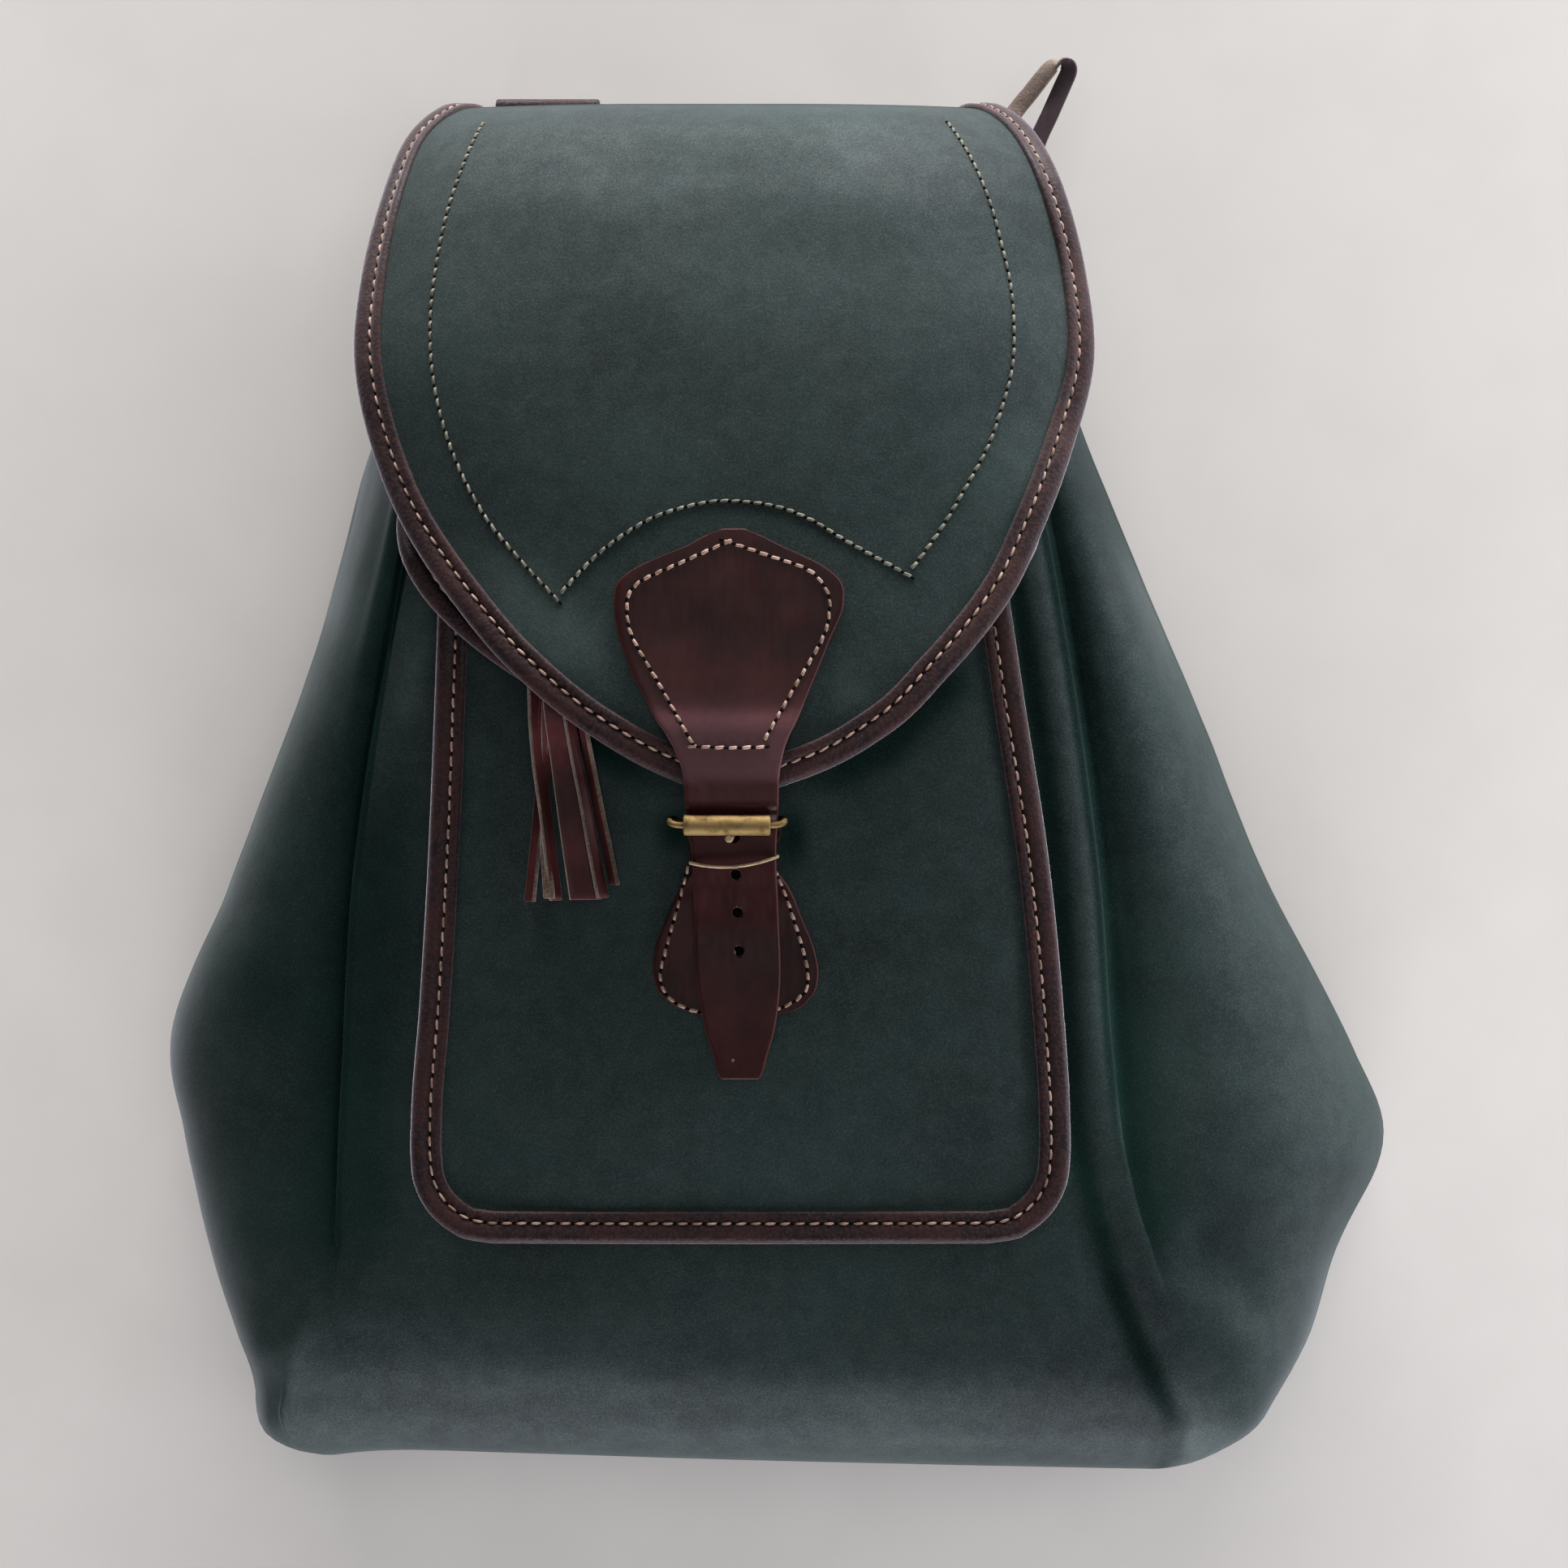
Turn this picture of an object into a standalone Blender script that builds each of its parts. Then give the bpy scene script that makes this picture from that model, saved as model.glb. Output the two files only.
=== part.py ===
# Leather rucksack lying on its back on the ground. Its front is up (+Z), its base points
# to -Y and the hinge of its flap to +Y. Sizes and tables are in millimetres, and MM turns
# them into metres. Every table is a row for each section, with its columns named first.

import math

import bmesh
import bpy
import numpy as np

MM = 0.001

# Leather thicknesses
BODY_WALL = 2.0
FLAP_WALL = 2.0
LID_WALL = 1.6
POCKET_WALL = 1.8
PATCH_WALL = 2.0
STRAP_WALL = 2.2
BINDING_WALL = 1.0
SHOULDER_WALL = 3.0
STRIP_WALL = 1.5

# Clearances between layers that are sewn or that lie on each other
SEAM_GAP = 0.4
BINDING_GAP = 0.55

# The bag's body
BACK_Z = 6.7            # outer face of the flat back panel
FOLD_Z = 19.0           # height of the side folds
SEAM_INSET = 32.0       # from a side fold to the back panel's seam
FRONT_CROWN = 3.0       # how far the front swells between its two long folds
BASE_START_Y = -193.0   # where the front and sides start to round into the base
BASE_ROUNDING = 18.0
BASE_SLOPE = -0.027     # the base lies a little askew
SKEW_START_Y = -110.0
SKEW_LENGTH = 80.0
BASE_WALL = 2.0

# The pocket on the front
POCKET_DEPTH = 12.0
POCKET_PUFF = 5.0
POCKET_PUFF_LENGTH = 45.0
GUSSET_INSET = 3.0
GUSSET_FOOT_GAP = 0.6
BINDING_WIDTH = 9.0
BINDING_UNDER = 5.0     # the binding's hidden lower band

# The lid over the pocket's mouth
LID_ROOT_Y = 80.0
LID_ON_POCKET_Y = 54.0
LID_DROOP = 1.2
LID_DROOP_LENGTH = 14.0
LID_DROOP_LEFT = -99.0
LID_DROOP_RIGHT = 66.0

# The buckle, around the strap's middle line
ROLLER_Y = -17.8
ROLLER_RADIUS = 2.7
ROLLER_LENGTH = 24.7
ROLLER_BEVEL = 0.3
ROLLER_SIDES = 16
FRAME_WIRE = 1.1
FRAME_WIDTH = 34.0
FRAME_CORNER = 3.6
HEEL_Y = -22.6
HEEL_LIFT = 4.1         # heel bar above the pocket
PRONG_WIRE = 1.0
KEEPER_WIRE = 0.65
KEEPER_Y = -27.8
KEEPER_BOW = 3.6
PRONG_SLOT = (4.6, 9.0, 14.0)   # its width, length and height
RUNNING_GAP = 0.35      # between the wires and what turns on them
STRAP_HOLE_RADIUS = 1.7
STRAP_HOLE_YS = (-21.2, -31.6, -42.0, -52.4)
CUTTER_HEIGHT = 14.0    # long enough to pass right through the leather

LACE_RADIUS = 2.0

# The shoulder straps under the bag: place across at the top and at the lower end, and how
# far towards +Y the fold at the top reaches
SHOULDER_STRAPS = (
    ("shoulder_strap_left", -75.5, -116.0, 211.2),
    ("shoulder_strap_right", 38.0, 108.0, 196.0),
)
SHOULDER_HALF = 17.0
SHOULDER_END_Y = -182.0


class Table:
    """Rows of named columns, read between the rows along a smooth curve."""

    def __init__(self, names, rows):
        self.keys = np.array([row[0] for row in rows], float)
        self.values = {}
        self.slopes = {}
        for place, name in enumerate(names):
            found = np.array([row[place] for row in rows], float)
            self.values[name] = found
            self.slopes[name] = np.gradient(found, self.keys)

    def at(self, name, key):
        keys = self.keys
        key = min(max(key, keys[0]), keys[-1])
        i = min(int(np.searchsorted(keys, key, side="right")) - 1, len(keys) - 2)
        step = keys[i + 1] - keys[i]
        t = (key - keys[i]) / step
        value, slope = self.values[name], self.slopes[name] * step
        return float(
            value[i] * (1 + 2 * t) * (1 - t) ** 2
            + slope[i] * t * (1 - t) ** 2
            + value[i + 1] * t * t * (3 - 2 * t)
            - slope[i + 1] * t * t * (1 - t)
        )


# The body from base to mouth: the side folds, the left crease and right ridge that bound
# the front, the front's height, how low the sides sag and how deep the gathers are
BODY = Table(("y", "left", "crease", "ridge", "right", "front", "sag", "gather"), (
    (-193.0, -164.0, -141.0, 125.0, 161.0, 78.0, 0.5, 0.0),
    (-180.0, -168.5, -137.0, 119.0, 165.0, 84.5, 0.5, 0.0),
    (-150.0, -179.0, -131.0, 107.0, 176.0, 90.5, 0.5, 0.0),
    (-113.0, -188.0, -128.5, 97.0, 192.0, 92.0, 0.5, 0.0),
    (-90.0, -192.6, -127.5, 94.5, 181.5, 92.0, 0.5, 0.0),
    (-35.0, -173.0, -124.5, 90.5, 154.0, 92.0, 0.5, 0.0),
    (16.0, -156.0, -118.0, 84.0, 133.5, 91.0, 0.5, 0.0),
    (65.0, -140.0, -111.0, 76.0, 113.5, 88.0, 2.0, 0.0),
    (101.0, -130.0, -105.0, 69.0, 96.5, 83.0, 6.7, 0.5),
    (128.0, -119.0, -97.0, 61.0, 84.0, 76.0, 7.2, 2.5),
    (148.0, -111.0, -91.0, 55.0, 75.0, 68.0, 7.2, 3.5),
    (168.0, -108.0, -88.0, 53.0, 72.0, 64.0, 7.2, 4.5),
))
BODY_ROWS_Y = (168, 148, 128, 114, 98, 80, 60, 38, 10, -22, -60, -90, -113, -138, -160, -180,
               -193)
PER_SPAN = 2            # steps between two neighbouring features of a section

# The pocket's front, from its bottom edge to its mouth
POCKET = Table(("y", "left", "right"), (
    (-134.0, -86.0, 62.0),
    (-131.5, -95.0, 71.5),
    (-126.0, -100.5, 77.0),
    (-117.0, -103.8, 80.4),
    (-100.0, -104.0, 81.0),
    (-71.0, -101.7, 79.2),
    (-25.0, -99.0, 74.6),
    (15.0, -97.5, 68.5),
    (50.0, -96.5, 63.5),
))
POCKET_ROWS_Y = (50, 30, 10, -15, -42, -71, -95, -109, -118, -124, -128.5, -132, -134)
LEAF_COLUMNS = 11       # points across the pocket's front and across its lid

# The lid, from its tip to its root
LID = Table(("y", "left", "right"), (
    (7.0, -34.0, -4.0),
    (12.0, -49.0, 10.0),
    (20.0, -65.5, 26.0),
    (31.7, -83.0, 42.0),
    (45.0, -97.5, 57.5),
    (56.0, -104.5, 68.0),
    (66.0, -107.5, 73.0),
    (80.0, -106.0, 72.0),
))
LID_ROWS_Y = (80, 75, 70, 66, 62, 58, 54, 49, 42, 33, 23, 14, 7)
LID_BOUND_ROW = 4       # the first of those rows that the lid's binding wraps

# The flap from its root at the bag's back, over the top roll and down the front: distance
# along its middle, place along Y, height at the middle and at the edges, left and right edge
FLAP = Table(("along", "y", "middle", "edge", "left", "right"), (
    (0.0, 168.8, 6.7, 6.7, -92.0, 58.0),
    (20.0, 185.0, 8.5, 8.0, -94.0, 59.5),
    (37.0, 198.5, 19.0, 16.0, -95.5, 60.5),
    (61.0, 204.5, 42.0, 34.0, -97.5, 62.0),
    (86.0, 200.0, 66.0, 50.0, -103.5, 70.5),
    (111.0, 187.0, 88.0, 64.5, -112.0, 80.5),
    (136.0, 166.0, 102.0, 78.5, -117.5, 86.5),
    (163.0, 141.0, 111.0, 90.0, -121.0, 89.3),
    (190.0, 115.0, 116.5, 99.0, -121.3, 89.4),
    (215.0, 90.0, 119.8, 104.5, -117.0, 83.5),
    (237.0, 68.0, 122.0, 110.0, -108.8, 75.0),
    (259.0, 46.0, 123.5, 116.4, -92.6, 64.0),
    (280.0, 25.0, 124.2, 121.8, -73.5, 46.5),
    (297.0, 8.0, 124.2, 123.0, -51.0, 28.0),
    (307.0, -2.0, 123.8, 123.2, -34.0, 10.0),
    (312.0, -7.0, 123.4, 123.2, -22.0, -4.0),
))
FLAP_ROUND = 2.6        # how late the flap falls towards its edges
FLAP_FRONT_START = 111.0
FLAP_COLUMNS = 13
FLAP_ALONGS = (0, 20, 37, 49, 61, 74, 86, 99, 111, 124, 140, 160, 183, 206, 228, 248, 266, 282,
               296, 305, 312)

# The upper patch and the strap that runs on from it, one piece
STRAP = Table(("y", "left", "right"), (
    (-88.6, -15.0, -7.0),
    (-84.0, -18.0, -4.6),
    (-76.0, -21.0, -2.0),
    (-68.5, -22.6, -0.6),
    (-64.0, -23.4, -0.2),
    (-42.0, -24.4, -0.6),
    (-26.0, -25.0, -1.2),
    (-14.0, -26.4, -0.6),
    (-2.0, -27.6, 0.0),
    (3.0, -29.5, 1.0),
    (15.0, -36.5, 6.0),
    (33.0, -44.6, 13.4),
    (45.0, -46.4, 17.7),
    (50.0, -45.2, 16.8),
    (54.0, -41.0, 13.4),
    (60.0, -26.0, 0.5),
    (65.0, -15.5, -10.5),
))
STRAP_ROWS_Y = (65, 61, 57, 53, 48, 43, 33, 22, 14, 8, 2, -4, -9, -12.5, -16, -20, -25, -30,
                -35, -42, -55, -66, -75, -82, -86, -88.6)
STRAP_COLUMNS = 7

# The strap's step up on to the flap's bound tip, and the stretch where it comes off it
STRAP_STEP_Y = 8.0
STRAP_STEP_LENGTH = 8.0
STRAP_LEAVES_Y = -16.0
STRAP_LEAVES_LENGTH = 7.0

# How high the strap's underside lies above the pocket where it has left the flap
STRAP_LIFT = Table(("y", "lift"), (
    (-90.0, 1.2),
    (-74.0, 2.6),
    (-60.0, 3.0),
    (-44.0, 3.1),
    (-36.0, 5.2),
    (-29.0, 7.3),
    (-23.0, 8.4),
    (-17.0, 8.9),
    (-10.0, 10.4),
))

# The lower patch, from its round end up to the fold that holds the buckle
PATCH = Table(("y", "left", "right"), (
    (-72.5, -18.0, -4.5),
    (-70.5, -26.0, 3.0),
    (-66.5, -33.0, 8.5),
    (-61.0, -35.8, 10.6),
    (-54.0, -35.6, 9.8),
    (-44.0, -32.2, 6.0),
    (-34.5, -27.4, 1.6),
    (-30.5, -24.4, -1.6),
    (-18.0, -24.2, -1.8),
))
PATCH_LIFT = Table(("y", "lift"), (
    (-73.0, 2.4),
    (-46.0, 2.4),
    (-38.0, 2.6),
    (-33.0, 4.3),
    (-29.0, 6.5),
    (-26.0, 7.5),
    (-22.6, 7.9),
))
PATCH_ROWS_Y = (-72.5, -70.5, -66.5, -61, -54, -49, -44, -39, -36, -33, -30.5, -28, -25.5,
                -22.6)
PATCH_UNDER_YS = (-26.0, -30.5)

# The tassel under the flap's edge: where each strip starts and ends across the bag, its
# width at both ends and its layer
STRIPS = (
    (-69.3, -70.5, 2.6, 3.0, 0),
    (-67.2, -66.6, 2.4, 3.0, 1),
    (-65.2, -63.4, 2.6, 3.2, 0),
    (-63.6, -60.6, 2.6, 3.4, 1),
    (-62.0, -56.0, 4.4, 7.6, 0),
    (-60.6, -51.4, 2.6, 3.4, 1),
    (-59.8, -47.2, 2.4, 3.0, 0),
)
STRIP_YS = (16.0, 10.0, 2.0, -12.0, -26.0, -38.6)
STRIP_UNEVEN = 1.5      # how much longer every other strip is
STRIP_LAYER = 1.2       # rise from one layer of strips to the next
STRIP_SINK = 0.2        # how far a strip's start sits in the hanger
STRIP_DROP_Y = 13.0     # where the strips come down from the lid to the pocket
STRIP_DROP_LENGTH = 16.0
HANGER_GAP = 0.6
HANGER_HEAD_Y = 19.0
HANGER = Table(("y", "x", "half"), (
    (12.0, -65.0, 6.0),
    (17.0, -65.0, 6.0),
    (26.0, -63.5, 5.0),
    (40.0, -58.0, 3.5),
    (58.0, -52.0, 3.5),
))
HANGER_ROWS_Y = (58, 54, 48, 41, 34, 27, 22, 17, 13)

# The drawstring's route over the gathered neck, out past the flap's corner in an open bend
# and back to the neck
LACE_ROUTE = (
    (-114.6, 146.0, 34.0),
    (-111.0, 147.0, 50.0),
    (-100.0, 148.0, 66.0),
    (-84.0, 148.5, 75.0),
    (-55.0, 149.0, 78.5),
    (-18.0, 149.5, 79.5),
    (18.0, 150.0, 78.5),
    (40.0, 152.0, 76.5),
    (55.0, 159.0, 73.0),
    (62.0, 171.0, 61.0),
    (65.0, 186.0, 47.0),
    (70.0, 201.0, 39.0),
    (78.5, 213.5, 40.0),
    (86.5, 217.0, 41.5),
    (90.0, 211.0, 41.5),
    (86.0, 201.0, 40.0),
    (80.5, 190.0, 40.0),
    (78.5, 177.0, 41.0),
    (79.5, 162.0, 42.0),
    (81.0, 152.0, 43.0),
)

# A shoulder strap seen from the side, from its anchor under the back, out past the bag's
# top, round its fold and back under the bag
SHOULDER_ROUTE = Table(("along", "y", "z"), (
    (0.0, 150.0, 4.8),
    (30.0, 180.0, 4.8),
    (50.0, 200.0, 4.9),
    (58.0, 208.0, 4.9),
    (62.0, 211.2, 3.9),
    (64.0, 211.0, 2.4),
    (68.0, 207.0, 1.5),
    (80.0, 195.0, 1.5),
))
SHOULDER_ALONGS = (0.0, 25.0, 50.0, 57.0, 60.0, 62.0, 63.0, 64.5, 68.0, 80.0)
SHOULDER_REACH = 211.2  # how far towards +Y that route goes
SHOULDER_LAID_Z = 1.5   # middle of the strap where it lies on the ground
SHOULDER_RISE = 3.3     # how far its lower end climbs to the bag's back


def clear_scene():
    for obj in list(bpy.data.objects):
        bpy.data.objects.remove(obj)


def collection(name, helper=False):
    made = bpy.data.collections.new(name)
    bpy.context.scene.collection.children.link(made)
    made.hide_render = helper
    return made


def eased(t):
    t = min(max(t, 0.0), 1.0)
    return t * t * (3.0 - 2.0 * t)


def unit(vectors):
    return vectors / np.maximum(np.linalg.norm(vectors, axis=-1, keepdims=True), 1e-9)


def curve_through(points, per_span):
    """A smooth curve through the points, in per_span steps from each to the next."""
    points = np.array(points, float)
    padded = np.vstack([2 * points[0] - points[1], points, 2 * points[-1] - points[-2]])
    found = []
    for i in range(1, len(padded) - 2):
        p0, p1, p2, p3 = padded[i - 1:i + 3]
        t1 = np.linalg.norm(p1 - p0) ** 0.5
        t2 = t1 + np.linalg.norm(p2 - p1) ** 0.5
        t3 = t2 + np.linalg.norm(p3 - p2) ** 0.5
        for step in range(per_span):
            t = t1 + (t2 - t1) * step / per_span
            a1 = p0 + (p1 - p0) * t / t1
            a2 = p1 + (p2 - p1) * (t - t1) / (t2 - t1)
            a3 = p2 + (p3 - p2) * (t - t2) / (t3 - t2)
            b1 = a1 + (a2 - a1) * t / t2
            b2 = a2 + (a3 - a2) * (t - t1) / (t3 - t1)
            found.append(b1 + (b2 - b1) * (t - t1) / (t2 - t1))
    found.append(points[-1])
    return np.array(found)


def material(name, colour, roughness, metallic=0.0):
    made = bpy.data.materials.new(name)
    made.use_nodes = True
    shader = made.node_tree.nodes["Principled BSDF"]
    shader.inputs["Base Color"].default_value = (*colour, 1.0)
    shader.inputs["Roughness"].default_value = roughness
    shader.inputs["Metallic"].default_value = metallic
    made.diffuse_color = (*colour, 1.0)
    return made


def add_mesh(name, points, faces, finish, into):
    mesh = bpy.data.meshes.new(name)
    mesh.from_pydata((np.asarray(points) * MM).tolist(), [], faces)
    mesh.validate()
    mesh.materials.append(finish)
    obj = bpy.data.objects.new(name, mesh)
    into.objects.link(obj)
    mesh.shade_smooth()
    mesh.set_sharp_from_angle(angle=math.radians(40))
    return obj


def add_sheet(name, grid, wall, finish, into, even=True):
    """An open surface given a wall under it. Its rows run down the front and its columns
    from left to right, which makes its faces point outwards."""
    rows, columns = grid.shape[:2]
    faces = [
        (r * columns + c, (r + 1) * columns + c, (r + 1) * columns + c + 1, r * columns + c + 1)
        for r in range(rows - 1)
        for c in range(columns - 1)
    ]
    obj = add_mesh(name, grid.reshape(-1, 3), faces, finish, into)
    solidify = obj.modifiers.new("Wall", "SOLIDIFY")
    solidify.thickness = wall * MM
    solidify.offset = -1.0
    solidify.use_even_offset = even
    return obj


def add_loft(name, sections, finish, into):
    """A solid through closed sections of the same number of points, with flat ends."""
    sections = np.asarray(sections)
    count, around = sections.shape[:2]
    faces = [
        (i * around + j, i * around + (j + 1) % around,
         (i + 1) * around + (j + 1) % around, (i + 1) * around + j)
        for i in range(count - 1)
        for j in range(around)
    ]
    faces.append(tuple(reversed(range(around))))
    faces.append(tuple((count - 1) * around + j for j in range(around)))
    obj = add_mesh(name, sections.reshape(-1, 3), faces, finish, into)
    shape = bmesh.new()
    shape.from_mesh(obj.data)
    bmesh.ops.recalc_face_normals(shape, faces=shape.faces)
    shape.to_mesh(obj.data)
    shape.free()
    return obj


def add_wire(name, points, radius, finish, into, closed=False, sides=2):
    """A round wire or cord along the points."""
    curve = bpy.data.curves.new(name, "CURVE")
    curve.dimensions = "3D"
    curve.bevel_depth = radius * MM
    curve.bevel_resolution = sides
    curve.use_fill_caps = not closed
    spline = curve.splines.new("POLY")
    spline.points.add(len(points) - 1)
    for point, place in zip(spline.points, points):
        point.co = (*(np.asarray(place) * MM), 1.0)
    spline.use_cyclic_u = closed
    curve.materials.append(finish)
    obj = bpy.data.objects.new(name, curve)
    into.objects.link(obj)
    return obj


def cut(obj, cutter):
    modifier = obj.modifiers.new("Cut", "BOOLEAN")
    modifier.operation = "DIFFERENCE"
    modifier.object = cutter


def add_cutter(name, centre, size, into, round_radius=None):
    """An upright box, or an upright round bar where a radius is given."""
    shape = bmesh.new()
    if round_radius:
        bmesh.ops.create_cone(
            shape, cap_ends=True, segments=12, radius1=round_radius * MM,
            radius2=round_radius * MM, depth=size[2] * MM)
    else:
        bmesh.ops.create_cube(shape, size=1.0)
        bmesh.ops.scale(shape, vec=[side * MM for side in size], verts=shape.verts)
    mesh = bpy.data.meshes.new(name)
    shape.to_mesh(mesh)
    shape.free()
    obj = bpy.data.objects.new(name, mesh)
    obj.location = [place * MM for place in centre]
    obj.hide_render = True
    obj.display_type = "WIRE"
    into.objects.link(obj)
    return obj


def front_height(x, y):
    """The body's front between its left crease and its right ridge."""
    crease, ridge = BODY.at("crease", y), BODY.at("ridge", y)
    side = (2 * x - crease - ridge) / (ridge - crease)
    return BODY.at("front", y) + FRONT_CROWN * (1 - side * side)


def body_section(y, per_span):
    """The body's section at y, from the left seam over the front to the right seam."""
    left, crease, ridge, right, front, sag, gather = (
        BODY.at(name, y)
        for name in ("left", "crease", "ridge", "right", "front", "sag", "gather"))
    rise = front - FOLD_Z
    left_side, right_side = crease - left, right - ridge
    plateau = crease + (ridge - crease) * np.array([0.06, 0.28, 0.5, 0.72, 0.95])
    features = [
        (left + SEAM_INSET, BACK_Z),                    # the seam with the back panel
        (left + 0.5 * SEAM_INSET, sag),                 # the underside, on the ground
        (left + 0.1 * SEAM_INSET, 0.35 * FOLD_Z),
        (left, FOLD_Z),                                 # the left fold
        (left + 0.14 * left_side, FOLD_Z + 0.26 * rise),
        (left + 0.48 * left_side, FOLD_Z + 0.61 * rise),
        (crease - 6.0, front - 11.0),
        (crease - 0.5, front - 3.5),                    # the crisp left crease
        *((x, front_height(x, y)) for x in plateau),
        (ridge + 3.0, front - 2.5),                     # the soft right ridge
        (ridge + 12.0, front - 12.0),
        (ridge + 0.52 * right_side, FOLD_Z + 0.61 * rise),
        (right - 0.14 * right_side, FOLD_Z + 0.26 * rise),
        (right, FOLD_Z),                                # the right fold
        (right - 0.1 * SEAM_INSET, 0.35 * FOLD_Z),
        (right - 0.5 * SEAM_INSET, sag),
        (right - SEAM_INSET, BACK_Z),
    ]
    section = curve_through(features, per_span)
    along = unit(np.gradient(section, axis=0))
    outward = np.stack([-along[:, 1], along[:, 0]], axis=1)
    place = np.arange(len(section)) / per_span
    held = np.array([eased((min(p, place[-1] - p) - 2.0) / 2.0) for p in place])
    return section + outward * (gather * held * np.cos(math.pi * place))[:, None]


def base_skew(x, y):
    """How far a point near the base is moved along Y, so that the base lies askew."""
    return BASE_SLOPE * x * eased((SKEW_START_Y - y) / SKEW_LENGTH)


def body_grid(rows_y, per_span):
    """Rows of the body's surface from the mouth to the edge of the base."""
    rows = []
    for y in rows_y:
        section = body_section(y, per_span)
        rows.append([(x, y + base_skew(x, y), z) for x, z in section])
    middle = (BODY.at("left", BASE_START_Y) + BODY.at("right", BASE_START_Y)) / 2
    half = (BODY.at("right", BASE_START_Y) - BODY.at("left", BASE_START_Y)) / 2
    height = BODY.at("front", BASE_START_Y) - BACK_Z
    last = body_section(BASE_START_Y, per_span)
    for turn in np.radians([32.0, 64.0, 90.0]):
        inset = BASE_ROUNDING * (1 - math.cos(turn))
        y = BASE_START_Y - BASE_ROUNDING * math.sin(turn)
        row = []
        for x, z in last:
            x = middle + (x - middle) * (1 - inset / half)
            z = BACK_Z + (z - BACK_Z) * (1 - inset / height)
            row.append((x, y + base_skew(x, y), z))
        rows.append(row)
    return np.array(rows)


def pocket_height(x, y):
    """The pocket's outer face, carried on level past its edges."""
    left, right = POCKET.at("left", y), POCKET.at("right", y)
    side = min(abs((2 * x - left - right) / (right - left)), 1.0)
    swell = (1 - side ** 2.5) * eased((y - POCKET.keys[0]) / POCKET_PUFF_LENGTH)
    return front_height(x, y) + POCKET_DEPTH + POCKET_PUFF * swell


def lid_height(x, y):
    """The lid climbs from the body's front over the pocket's bound mouth and droops at its
    two sides."""
    root = front_height(x, y) + 2 * SEAM_GAP + LID_WALL
    over = pocket_height(x, y) + 2 * (BINDING_GAP + BINDING_WALL + SEAM_GAP) + LID_WALL
    climb = eased((LID_ROOT_Y - y) / (LID_ROOT_Y - LID_ON_POCKET_Y))
    off = max(LID_DROOP_LEFT - x, x - LID_DROOP_RIGHT, 0.0)
    return root + (over - root - LID_DROOP * eased(off / LID_DROOP_LENGTH)) * climb


def flap_point(along, side):
    """The flap's outer face, with side from -1 at its left edge to 1 at its right."""
    y, middle, edge, left, right = (
        FLAP.at(name, along) for name in ("y", "middle", "edge", "left", "right"))
    x = (left + right) / 2 + side * (right - left) / 2
    return x, y, edge + (middle - edge) * (1 - abs(side) ** FLAP_ROUND)


def flap_height(x, y):
    """The height of the flap's face over a point of its front."""
    front = FLAP.keys >= FLAP_FRONT_START
    along = np.interp(-y, -FLAP.values["y"][front], FLAP.keys[front])
    left, right = FLAP.at("left", along), FLAP.at("right", along)
    side = (2 * x - left - right) / (right - left)
    return flap_point(along, min(max(side, -1.0), 1.0))[2]


def strap_underside(x, y):
    """The strap lies on the flap, steps over its bound tip and comes down to the buckle."""
    on_binding = 1 - eased((y - STRAP_STEP_Y) / STRAP_STEP_LENGTH)
    step = BINDING_GAP + BINDING_WALL + SEAM_GAP
    flap_tip_y = FLAP.values["y"][-1]
    on_flap = flap_height(x, max(y, flap_tip_y)) + SEAM_GAP + step * on_binding
    below = pocket_height(x, y) + STRAP_LIFT.at("lift", y)
    return below + (on_flap - below) * eased((y - STRAP_LEAVES_Y) / STRAP_LEAVES_LENGTH)


def strap_height(x, y):
    return strap_underside(x, y) + STRAP_WALL


def strap_middle(y):
    return (STRAP.at("left", y) + STRAP.at("right", y)) / 2


def leaf_grid(outline, rows_y, columns, height):
    """Rows of a leaf whose outline is a table, at the height that a function gives."""
    grid = []
    for y in rows_y:
        left, right = outline.at("left", y), outline.at("right", y)
        row = []
        for side in np.linspace(-1.0, 1.0, columns):
            x = (left + right) / 2 + side * (right - left) / 2
            row.append((x, y, height(x, y)))
        grid.append(row)
    return np.array(grid)


def rim_of(grid):
    """Points around a sheet's open edge, from its root down the left side, round its end
    and up the right side, with the directions into the sheet and out of its face."""
    columns = grid.shape[1]
    down_rows = unit(np.gradient(grid, axis=0))
    across = unit(np.gradient(grid, axis=1))
    normals = unit(np.cross(down_rows, across))
    order = (
        [(r, 0) for r in range(len(grid))]
        + [(len(grid) - 1, c) for c in range(1, columns - 1)]
        + [(r, columns - 1) for r in reversed(range(len(grid)))]
    )
    points = np.array([grid[r, c] for r, c in order])
    facing = np.array([normals[r, c] for r, c in order])
    along = unit(np.gradient(points, axis=0))
    inward = unit(np.cross(facing, along))
    return points, inward, facing


def binding_sections(points, inward, facing, wall):
    """A folded leather binding that wraps an edge of the given wall."""
    gap = BINDING_GAP
    outer = gap + BINDING_WALL
    profile = (
        (BINDING_WIDTH, gap),
        (-gap, gap),
        (-gap, -wall - gap),
        (BINDING_UNDER, -wall - gap),
        (BINDING_UNDER, -wall - outer),
        (-gap, -wall - outer),
        (-outer, -wall / 2),
        (-gap, outer),
        (BINDING_WIDTH, outer),
    )
    return [
        [p + a * inside + n * up for inside, up in profile]
        for p, a, n in zip(points, inward, facing)
    ]


def make_body(finish, into):
    grid = body_grid(BODY_ROWS_Y, PER_SPAN)
    add_sheet("body_front", grid, BODY_WALL, finish, into, even=False)
    return grid


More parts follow.
